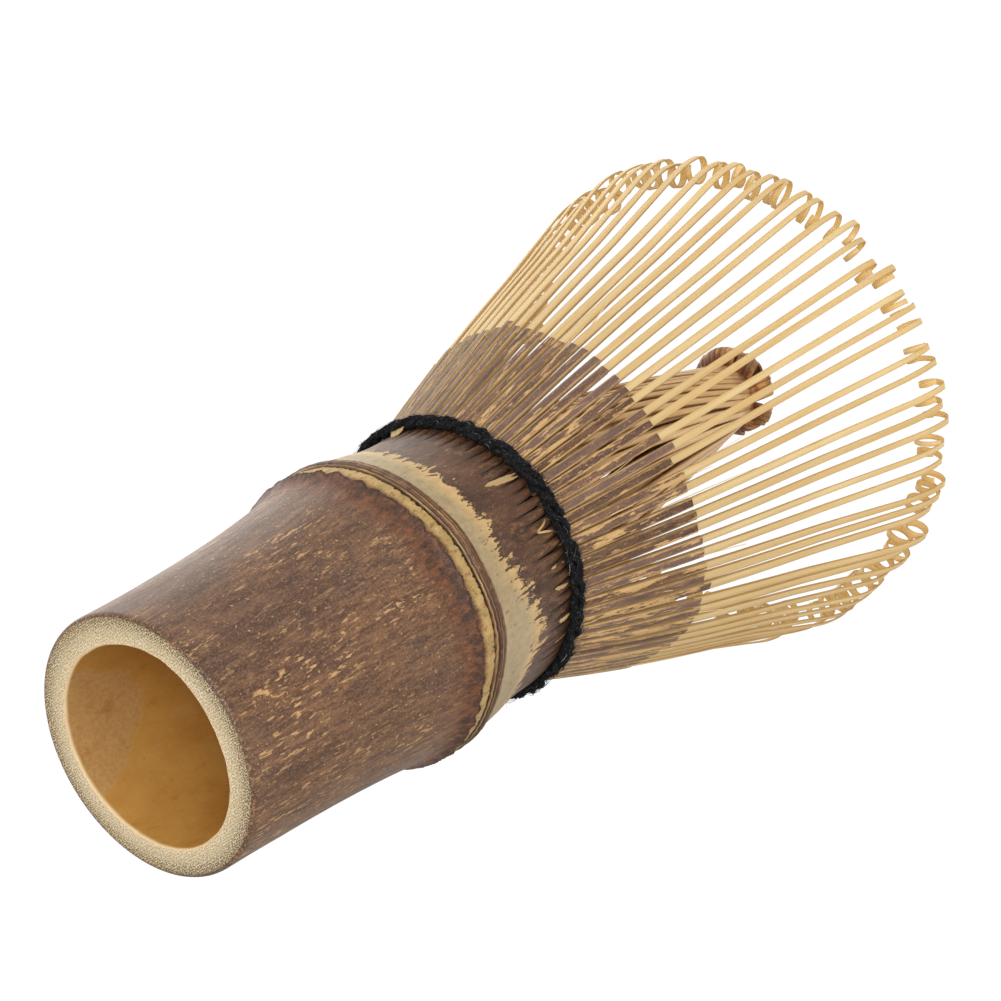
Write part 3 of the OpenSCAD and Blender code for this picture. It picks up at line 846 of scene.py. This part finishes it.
# measured places of the near tips, in degrees round the ring as the camera fit counts them
NEAR = [49.5, 44.5, 40.5, 36.0, 32.0, 28.0, 23.0, 18.5, 14.5, 10.5, 5.5, 1.0, -3.5, -7.5, -12.0, -17.0, -22.5, -26.5, -30.5, -34.5, -38.5, -42.0, -46.0, -51.0]
FLAT_TIPS = [-3.5, -7.5]
near_world = np.array([fit_angle(a) for a in NEAR])
flat_world = np.array([fit_angle(a) for a in FLAT_TIPS])
grid = 4.5 * np.arange(TINES)
wrap180 = lambda a: (a + 180) % 360 - 180
jitter = rng.normal(0, 0.85, TINES)
for a in near_world:
    i = int(np.argmin(abs(wrap180(grid - a))))
    jitter[i] = np.clip(wrap180(a - grid[i]), -1.6, 1.6) * 0.8
flat_i = {int(np.argmin(abs(wrap180(grid - a)))) for a in flat_world}


def outer_tines():
    for k in range(16):
        V, F, IDX, TONE, WORN, LAY, EDGE = [], [], [], [], [], [], []
        n = 0
        for j in range(5):
            i = (5 * k + j - 2) % TINES
            c = math.radians(grid[i])
            jt = math.radians(jitter[i])
            dr, dz = rng.normal(0, 0.30), rng.normal(0, 0.35)
            curl = float(np.clip(rng.normal(1.54, 0.12), 1.25, 1.85))
            turn = math.radians(float(rng.uniform(285, 370)))
            if i in flat_i:
                turn, curl = math.radians(165), 1.7
            tip = np.array([TIP_R * math.cos(c), TIP_R * math.sin(c), TOP_Z + END_H]) * MM
            open_ = float((CAM_LOC - tip) @ [-math.sin(c), math.cos(c), 0] / np.linalg.norm(CAM_LOC - tip))
            drift = float(rng.choice([-1, 1]) * rng.uniform(0.15, 0.75))
            if abs(open_) < 0.5:
                drift = math.copysign(rng.uniform(0.75, 1.35), open_) if i not in flat_i else 0.1
            sway = rng.normal(0, 0.26)
            away = abs(float(wrap180(grid[i] - near_world.mean())))
            side_on = float(np.clip((away - 35) / 16, 0, 1))
            arch, bend = float(rng.uniform(5.6, 7.6)) + 1.2 * side_on, math.radians(float(rng.uniform(14, 25)) + 5 * side_on)
            h = np.concatenate([np.linspace(-0.9, SKIN_H, 26), np.linspace(SKIN_H, END_H + dz + 0.8 - arch * 0.97, 26)[1:]])
            q = np.clip(h / END_H, 0, 1.1)
            face = tine_face(h) + (dr + 0.72) * q**3 + 0.34 * np.sin(math.pi * np.clip(h / 34, 0, 1)) - 0.98 * np.clip(np.sin(np.clip(q, 0, 1) * math.pi), 0, 1) ** 0.85 + 0.18 * rng.normal() * np.sin(q * math.pi)
            face[h <= 0] = NECK_R + 0.02
            cut = cut_h(c) + rng.normal(0, 0.28)
            blade = h > SKIN_H + 1e-6
            qb = np.clip((h - SKIN_H) / (END_H - SKIN_H), 0, 1)
            thick = np.where(~blade, 0.86 - 0.22 * np.clip(h, 0, None) / SKIN_H, 0.50 - 0.34 * qb**0.8)
            w0 = rng.normal(0, 0.03)
            wide = np.where(~blade, 1.07 - 0.10 * np.clip(h / SKIN_H, 0, 1), 0.87 - 0.22 * qb**1.2) * np.where(blade, 1 + 0.36 * side_on, 1.0) + w0
            shave = np.where(blade, 0.13 - 0.09 * qb, 0)
            rad = face - shave - thick / 2
            # a split's edge tines keep clear of the next split
            inward = {0: 1, 4: -1}.get(j, 0)
            if jt * inward < 0:
                jt *= 0.5
            if sway * inward < 0:
                sway *= 0.5
            if drift * inward < 0:
                drift *= 0.5
            lat = (face * jt) * q + sway * np.sin(q * 2.6) * q + 0.27 * inward * q
            # curled tip: a spiral that tightens and drifts a little to one side
            m = 34 if turn > 3 else 16
            s = np.linspace(0, 1, m + 1)[1:]
            lean = math.atan(float((rad[-1] - rad[-3]) / (h[-1] - h[-3])))
            # the last of the blade arches inwards before the curl
            sa = np.linspace(0, 1, 13)[1:]
            aa = lean - bend * sa**1.9
            rise = arch / 12 * np.ones(12)
            ang = np.concatenate([aa, lean - bend - turn * s**0.92])  # direction of travel, from straight up towards +r
            rho = curl * (1.04 - 0.14 * s)
            ds = np.concatenate([rise, rho * turn / m])
            cr = rad[-1] + np.cumsum(np.sin(ang) * ds)
            cz = h[-1] + np.cumsum(np.cos(ang) * ds)
            cl = np.concatenate([lat[-1] + 0.1 * drift * sa**2, lat[-1] + drift * (0.1 + s) + 0.06 * np.sin(s * 7 + i)])
            s = np.concatenate([0 * sa, s])
            ct, cw = np.full(m + 12, thick[-1]) * (1 - 0.2 * s), wide[-1] * (1 - 0.14 * s)
            tone, worn = rng.uniform(0, 1), rng.uniform(0, 1)
            worn = float(np.clip(worn * 0.55 + 0.45 * patchy(c), 0, 1))
            R = np.array([[math.cos(c), -math.sin(c), 0], [math.sin(c), math.cos(c), 0], [0, 0, 1]])

            def build(r_, z_, l_, w_, t_, along0, mats, tone_, worn_):
                nonlocal n
                p = np.stack([r_, l_, z_ + TOP_Z], 1)
                side = np.repeat([[0.0, -1.0, 0.0]], len(p), 0)
                v, f, place, lay, ed = strip(p, side, w_, t_)
                V.append(v @ R.T)
                F.extend([[a + n for a in q_] for q_ in f])
                IDX.extend(mats(p_) for p_ in place)
                lay = lay + np.array([7.3 * i + 50, 0, along0])
                LAY.append(lay * MM)
                EDGE.append(ed)
                TONE.append(np.full(len(v), tone_))
                WORN.append(np.full(len(v), worn_))
                n += len(v)

            low = ~blade
            hs = h[low].copy()
            hs[hs > 0] *= cut / SKIN_H
            rs = np.interp(hs, h, face) - thick[low] / 2
            rs[h[low] <= 0] = NECK_R + 0.02 - thick[low][h[low] <= 0] / 2
            build(rs, hs, lat[low] * cut / SKIN_H, wide[low], thick[low], 0, lambda p_: 0 if p_ in (0, 1, 7) else 1, tone, worn)
            # the blade starts inside the skin-backed part, below the cut
            hb = np.concatenate([[cut - 0.9, cut - 0.2], h[blade & (h > cut + 0.4)]])
            up = blade & (h > cut + 0.4)
            rb = np.concatenate([np.interp(hb[:2], h, face) - 0.40, rad[up]])
            lb = np.concatenate([[lat[low][-1]] * 2, lat[up]])
            w_ = np.concatenate([[wide[up][0]] * 2, wide[up], cw])
            t_ = np.concatenate([[0.48, 0.50], thick[up], ct])
            build(np.concatenate([rb, cr]), np.concatenate([hb, cz]), np.concatenate([lb, cl]), w_, t_, SKIN_H, lambda p_: 1 if p_ in (2, 6) else 2, rng.uniform(0, 1), 0.0)
        name = "outer_tines_%02d" % (k + 1)
        o = piece("tines_%02d" % (k + 1), np.concatenate(V), F, [TSKIN, SIDE, BLADE], IDX, angle=55, body=None)
        put_attrs(o, TONE, WORN, EDGE, LAY)
        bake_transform(o)
        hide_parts(name)


# ---------------------------------------------------------------- twisted core
def core():
    zk = 51.2
    ml = 34
    bundles = 10
    spec = [dict(az=TAU * (b + rng.normal(0, 0.12)) / bundles, depth=rng.uniform(1.35, 1.85), end=rng.uniform(3.6, 5.0), rise=rng.normal(0, 0.3), swirl=rng.uniform(0.9, 1.7), lift=rng.uniform(1.9, 2.8)) for b in range(bundles)]
    for g in range(8):
        V, F, TONE, TIP, LAY, EDGE = [], [], [], [], [], []
        n = 0
        for j in range(10):
            i = g * 10 + j
            a0 = TAU * i / 80
            outer = i % 2 == 0
            r0, r1 = (12.85, 3.9) if outer else (12.1, 3.0)
            u = np.linspace(0, 1, 44)
            wob = rng.normal(0, 0.18)
            r = r0 + (r1 - r0) * u + (0.10 if outer else -0.1) * np.sin(u * math.pi) + wob * np.sin(u * math.pi) ** 2
            tw = np.arctan2(u * r1 * math.sin(1.0472), (1 - u) * r0 + u * r1 * 0.5)
            ang = a0 + tw + rng.normal(0, 0.03) * np.sin(u * math.pi)
            z = TOP_Z + 0.1 + (zk - 0.1) * u
            cx = -0.9 * np.sin(u * math.pi) * u
            cy = -CORE_LEAN * u
            width = np.interp(u, [0, 0.6, 1], [0.84, 0.78, 0.66 if outer else 0.5])
            tip = np.clip((u - 0.93) / 0.07, 0, 1) * 0.9
            if outer:
                o_i = i // 2
                b = int(o_i * bundles / 40)
                sp = spec[b]
                off = (o_i * bundles / 40 - b - 0.42) * 1.0  # place in the bundle, -0.4 .. 0.5
                s = np.linspace(0, 1, ml + 1)[1:]
                turn = s * (sp["end"] + rng.normal(0, 0.08))
                rad_c = sp["depth"] + rng.normal(0, 0.05)
                # round a small circle whose centre sits above the shoulder of the core
                rc, zc = r1 + 0.05, TOP_Z + zk + sp["lift"] * 0.62 + sp["rise"]
                start_a = -0.95
                aa = start_a + turn
                rk = rc + rad_c * np.cos(aa) * 0.98 - 0.9 * np.clip(aa - 1.5, 0, 2)
                zz = zc + rad_c * np.sin(aa)
                f0 = np.clip(s * 4, 0, 1) ** 1.2
                rk = (r[-1] + 0.35 * s) * (1 - f0) + rk * f0
                zz = (z[-1] + 2.0 * s) * (1 - f0) + zz * f0
                rk = np.maximum(rk, 0.3)
                a_end = ang[-1]
                target = sp["az"] + tw[-1]
                da = (target - a_end + math.pi) % TAU - math.pi
                spread = off * 2.1 / np.maximum(rk, 2.0)
                angk = a_end + (da + spread) * np.clip(s * 2.2, 0, 1) + sp["swirl"] * s**2
                r = np.concatenate([r, rk])
                z = np.concatenate([z, zz])
                ang = np.concatenate([ang, angk])
                cx = np.concatenate([cx, np.zeros(ml)])
                cy = np.concatenate([cy, np.full(ml, -CORE_LEAN)])
                width = np.concatenate([width, np.interp(s, [0, 0.25, 0.75, 1], [0.66, 0.74, 0.66, 0.42])])
                tip = np.concatenate([tip, np.interp(s, [0, 0.10, 0.28, 0.5, 0.75, 1], [0.9, 1.0, 0.6, 0.5, 0.9, 1.0])])
            p = np.stack([cx + r * np.cos(ang), cy + r * np.sin(ang), z], 1)
            tan = np.gradient(p, axis=0)
            rad = np.stack([np.cos(ang), np.sin(ang), 0 * ang], 1)
            around_ = np.stack([-np.sin(ang), np.cos(ang), 0 * ang], 1)
            side = np.cross(rad, tan)
            side /= np.linalg.norm(side, axis=1)[:, None]
            side = side * np.sign((side * around_).sum(1))[:, None]
            if outer:
                w1 = np.clip((np.arange(len(p)) - (len(p) - ml) + 3) / 6, 0, 1)[:, None]
                side = side * (1 - w1) + around_ * w1
            side = -side
            v, f, place, lay, ed = strip(p, side, width, 0.34 if outer else 0.28)
            V.append(v)
            F += [[a + n for a in q] for q in f]
            LAY.append((lay + np.array([9.1 * i + 50, 0, 0])) * MM)
            EDGE.append(ed)
            TONE.append(np.full(len(v), rng.uniform(0, 1)))
            TIP.append(np.repeat(tip, len(v) // len(tip)))
            n += len(v)
        name = "inner_tines_%02d" % (g + 1)
        o = piece("core_strips_%02d" % (g + 1), np.concatenate(V), F, [CORE], angle=55)
        put_attrs(o, TONE, None, EDGE, LAY, TIP)
        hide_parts(name)


# ---------------------------------------------------------------- thread
def tube(pts, radius, sides=8, cap=True, squash=None):
    pts = np.asarray(pts, float)
    n = len(pts)
    tan = np.gradient(pts, axis=0)
    tan /= np.linalg.norm(tan, axis=1)[:, None] + 1e-12
    up = np.array([0, 0, 1.0])
    s = np.cross(tan, up)
    bad = np.linalg.norm(s, axis=1) < 1e-3
    s[bad] = [1, 0, 0]
    s /= np.linalg.norm(s, axis=1)[:, None]
    u = np.cross(s, tan)
    b = np.linspace(0, TAU, sides, endpoint=False)
    rr = np.broadcast_to(radius, n)[:, None, None]
    v = pts[:, None, :] + rr * (np.cos(b)[None, :, None] * s[:, None, :] + np.sin(b)[None, :, None] * u[:, None, :])
    f = grid_faces(n, sides, wrap=True, flip=True)
    return v.reshape(-1, 3), f


def threads():
    V, F = [], []
    n = 0
    steps = 1500
    zc = TOP_Z - 0.95
    wanderz, wanderr = ripple(51, 14, 3, 40), ripple(52, 14, 5, 60)
    t = np.linspace(0, TAU, steps, endpoint=False)
    lay = []
    for s in range(4):
        lump = ripple(60 + s, 10, 6, 60)
        tw = 16 * t + TAU * s / 4 + 0.45 * ripple(80 + s, 6, 2, 9)(t)
        rr = NECK_R + 0.58 + 0.27 * np.cos(tw) + 0.05 * wanderr(t + s)
        zz = zc + 0.09 * wanderz(t) + 0.66 * np.sin(tw) + 0.07 * wanderr(2 * t + s)
        lay.append((rr, zz))
        for ply in range(3):
            pw = (150 + 7 * s) * t + TAU * ply / 3 + s
            d = 0.19 * (1 + 0.16 * lump(t))
            rad = rr + d * np.cos(pw)
            z2 = zz + d * np.sin(pw)
            p = polar(rad, t, z2)
            p = np.concatenate([p, p[:1]])
            v, f = tube(p, 0.20 + 0.03 * ripple(70 + ply, 20, 60, 320)(np.append(t, 0)), sides=5)
            V.append(v)
            F.append(f + n)
            n += len(v)
    o = piece("binding_thread_plies", np.concatenate(V), np.concatenate(F), [THREAD], angle=None)
    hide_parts("binding_thread")
    # loose fibres that stand off the thread or lie along it
    V, F, TONE, n = [], [], [], 0
    for _ in range(7600):
        a = rng.uniform(0, TAU)
        k = rng.integers(4)
        rr, zz = lay[k][0][int(a / TAU * steps) % steps], lay[k][1][int(a / TAU * steps) % steps]
        b = rng.uniform(-2.0, 2.0)
        r0, z0 = rr + 0.33 * math.cos(b), zz + 0.33 * math.sin(b)
        flat = rng.uniform() < 0.55
        length = rng.gamma(2.4, 0.28) if flat else rng.gamma(2.0, 0.11)
        d = np.array([math.cos(b) * (0.18 if flat else rng.uniform(0.2, 1)), rng.choice([-1, 1]) * rng.uniform(0.5, 1.3) if flat else rng.normal(0, 0.8), math.sin(b) * (0.4 if flat else 1) + rng.normal(0, 0.5)])
        d /= np.linalg.norm(d)
        bend = rng.normal(0, 0.5, 3)
        s = np.linspace(0, 1, 5)[:, None]
        loc = d * s * length + bend * s**2 * length * 0.5
        if flat:
            loc[:, 0] = 0.05 + 0.10 * np.sin(s[:, 0] * math.pi)
        p = np.stack([np.maximum(r0 + loc[:, 0], NECK_R + 0.1), loc[:, 1], z0 + loc[:, 2]], 1)
        R = np.array([[math.cos(a), -math.sin(a), 0], [math.sin(a), math.cos(a), 0], [0, 0, 1]])
        v, f = tube(p @ R.T, np.array([0.022, 0.020, 0.018, 0.015, 0.008]), sides=3)
        V.append(v)
        F.append(f + n)
        TONE.append(np.full(len(v), rng.uniform() ** 1.4))
        n += len(v)
    o = piece("thread_fuzz", np.concatenate(V), np.concatenate(F), [FUZZ], angle=None)
    put_attrs(o, TONE)
    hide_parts("binding_thread")
    # the weave between the two rings of roots
    t = np.linspace(0, TAU, 960)
    V, F, n = [], [], 0
    for s in range(2):
        rr = 13.8 + 0.30 * np.cos(40 * t + math.pi * s)
        zz = TOP_Z - 1.1 + 0.18 * np.sin(80 * t + math.pi * s)
        v, f = tube(polar(rr, t, zz), 0.36, sides=8)
        V.append(v)
        F.append(f + n)
        n += len(v)
    o = piece("weaving_thread_plies", np.concatenate(V), np.concatenate(F), [THREAD], angle=None)
    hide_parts("weaving_thread")


def splinters():
    """Loose fibres and chips lifted off the cut edges; each group rides with what it grew from."""
    V, F, LAY, EDGE, TONE, n = [], [], [], [], [], 0

    def add(p, side, w, th):
        nonlocal n
        v, f, place, lay, ed = strip(p, side, w, th)
        V.append(v)
        F.extend([[a + n for a in q] for q in f])
        LAY.append((lay + np.array([60 + 3.1 * len(V), 0, 0])) * MM)
        EDGE.append(ed * 0)
        TONE.append(np.full(len(v), rng.uniform(0, 0.6)))
        n += len(v)

    # chips on the neck: (angle, height, length, width, lift, turn of its line from the axis)
    for a, z, ln, w, lift, lean_ in ((-109.5, 42.3, 4.7, 0.52, 0.22, 0.10), (-108.3, 43.4, 3.6, 0.42, 0.24, 0.16), (-166.0, 46.0, 2.2, 1.7, 0.75, -0.5), (-83.6, 44.6, 2.1, 0.26, 0.55, 0.30), (-83.9, 44.6, 1.7, 0.24, 0.8, -0.42), (-60, 44.6, 2.2, 0.4, 0.2, 0.1), (-45, 45.2, 1.8, 0.5, 0.2, -0.1), (30, 43.5, 3.0, 0.6, 0.3, 0.1), (95, 44.5, 2.4, 0.5, 0.3, -0.2)):
        s = np.linspace(0, 1, 9)
        t = math.radians(a)
        r = neck_r(z + ln * s) + 0.02 + lift * np.sin(s * 2.6) * 0.5
        lat = lean_ * ln * s
        p = np.stack([r * math.cos(t) - lat * math.sin(t), r * math.sin(t) + lat * math.cos(t), z + ln * s], 1)
        side = np.repeat([[math.sin(t), -math.cos(t), 0.15]], 9, 0)
        add(p, side, w * np.interp(s, [0, 0.15, 0.7, 1], [0.25, 1.0, 0.85, 0.2]) * (1 + 0.2 * np.sin(s * 23 + a)), 0.12)
    o = piece("neck_chips", np.concatenate(V), F, [SIDE], angle=50)
    put_attrs(o, TONE, None, EDGE, LAY)
    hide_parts("neck")
    for k in range(16):
        V, F, LAY, EDGE, TONE, n = [], [], [], [], [], 0
        c0 = TAU * k / 16
        for _ in range(4):
            # one fibre peels off a tine's edge, between the thread and the cut or a little above it
            a = c0 + math.radians(rng.uniform(-9.5, 9.5))
            h0 = rng.uniform(1.5, 17)
            ln = float(np.clip(rng.gamma(2.2, 3.2), 2.5, 15))
            s = np.linspace(0, 1, 12)
            off = rng.uniform(0.1, 0.8) * s**1.8 + 0.05 * np.sin(s * rng.uniform(2, 5))
            lat = rng.normal(0, 0.45) * s**1.5 + 0.10 * np.sin(s * rng.uniform(2, 4) + rng.uniform(0, 6)) * s
            h = h0 + ln * s
            r = tine_face(h) - 0.05 - 0.98 * np.clip(np.sin(np.clip(h / END_H, 0, 1) * math.pi), 0, 1) ** 0.85 + off
            p = np.stack([r * math.cos(a) - lat * math.sin(a), r * math.sin(a) + lat * math.cos(a), TOP_Z + h], 1)
            side = np.repeat([[math.sin(a), -math.cos(a), 0.1]], 12, 0)
            add(p, side, np.interp(s, [0, 0.3, 1], [0.16, 0.12, 0.05]) * rng.uniform(0.6, 1.3), 0.07)
        o = piece("splinters_%02d" % (k + 1), np.concatenate(V), F, [BLADE], angle=50, body=None)
        put_attrs(o, TONE, None, EDGE, LAY)
        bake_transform(o)
        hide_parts("outer_tines_%02d" % (k + 1))


handle_outer()
handle_inner()
node_rings()
neck()
outer_tines()
core()
threads()
splinters()

# ---------------------------------------------------------------- light, world, floor
world = bpy.data.worlds.new("world")
bpy.context.scene.world = world
world.use_nodes = True
wn = world.node_tree
wn.nodes.clear()
wout = wn.nodes.new("ShaderNodeOutputWorld")
wmix = wn.nodes.new("ShaderNodeMixShader")
lp = wn.nodes.new("ShaderNodeLightPath")
seen = wn.nodes.new("ShaderNodeBackground")
seen.inputs[0].default_value = (1, 1, 1, 1)
seen.inputs[1].default_value = 1.05
lit = wn.nodes.new("ShaderNodeBackground")
lit.inputs[0].default_value = (1, 0.955, 0.89, 1)
geo_dir = wn.nodes.new("ShaderNodeTexCoord").outputs["Generated"]
dot = wn.nodes.new("ShaderNodeVectorMath")
dot.operation = "DOT_PRODUCT"
wn.links.new(geo_dir, dot.inputs[0])
dot.inputs[1].default_value = from_camera(-0.62, 0.78, -0.05).normalized()
grad = wn.nodes.new("ShaderNodeMapRange")
wn.links.new(dot.outputs["Value"], grad.inputs[0])
for slot_i, val in enumerate((-0.5, 0.6, 0.53, 0.69), 1):
    grad.inputs[slot_i].default_value = val
glow = wn.nodes.new("ShaderNodeMapRange")
behind = wn.nodes.new("ShaderNodeVectorMath")
behind.operation = "DOT_PRODUCT"
wn.links.new(geo_dir, behind.inputs[0])
behind.inputs[1].default_value = from_camera(-0.45, 0.50, -0.75).normalized()
wn.links.new(behind.outputs["Value"], glow.inputs[0])
for slot_i, val in enumerate((0.62, 0.95, 0.0, 1.3), 1):
    glow.inputs[slot_i].default_value = val
both = wn.nodes.new("ShaderNodeMath")
wn.links.new(grad.outputs[0], both.inputs[0])
wn.links.new(glow.outputs[0], both.inputs[1])
wn.links.new(both.outputs[0], lit.inputs[1])
wn.links.new(lp.outputs["Is Camera Ray"], wmix.inputs[0])
wn.links.new(lit.outputs[0], wmix.inputs[1])
wn.links.new(seen.outputs[0], wmix.inputs[2])
wn.links.new(wmix.outputs[0], wout.inputs[0])


def softbox(name, direction, distance, size, power, target=(0, 0, 0.05)):
    d = bpy.data.lights.new(name, "AREA")
    d.shape = "SQUARE"
    d.size = size
    d.energy = power
    d.color = (1, 0.94, 0.86)
    o = bpy.data.objects.new(name, d)
    bpy.context.scene.collection.objects.link(o)
    at = Vector(target) + direction.normalized() * distance
    o.matrix_world = Matrix.Translation(at) @ direction.to_track_quat("Z", "Y").to_matrix().to_4x4()
    o.visible_camera = False
    return o


softbox("key", from_camera(-0.55, 0.75, 0.55), 0.60, 0.50, 0.5)
softbox("front", from_camera(0.0, 0.05, 1.0), 0.75, 0.40, 2.6)
softbox("low", from_camera(-0.5, -0.45, 0.8), 0.7, 0.40, 0.55)
softbox("top", Vector((0.2, 0.1, 1.0)), 0.6, 0.5, 1.2)
softbox("side", from_camera(0.8, -0.2, 0.6), 0.7, 0.5, 0.9)

floor_mesh = bpy.data.meshes.new("floor")
floor_mesh.from_pydata([(0.58 * math.cos(TAU * i / 180), 0.58 * math.sin(TAU * i / 180), 0) for i in range(180)], [], [list(range(180))])
floor = bpy.data.objects.new("floor", floor_mesh)
floor.location = (0, 0, -0.0002)
bpy.context.scene.collection.objects.link(floor)
fm = bpy.data.materials.new("floor")
fm.use_nodes = True
fn = fm.node_tree
fb = fn.nodes["Principled BSDF"]
fb.inputs["Base Color"].default_value = (0.86, 0.86, 0.85, 1)
fb.inputs["Roughness"].default_value = 0.7
clear = fn.nodes.new("ShaderNodeBsdfTransparent")
pick = fn.nodes.new("ShaderNodeMixShader")
geo = fn.nodes.new("ShaderNodeNewGeometry")
fn.links.new(geo.outputs["Backfacing"], pick.inputs[0])
fn.links.new(fb.outputs[0], pick.inputs[1])
fn.links.new(clear.outputs[0], pick.inputs[2])
fn.links.new(pick.outputs[0], fn.nodes["Material Output"].inputs[0])
floor_mesh.materials.append(fm)
floor.visible_shadow = False
floor.visible_diffuse = False
floor.visible_glossy = False
floor.visible_transmission = False

bpy.context.scene.view_settings.view_transform = "Standard"

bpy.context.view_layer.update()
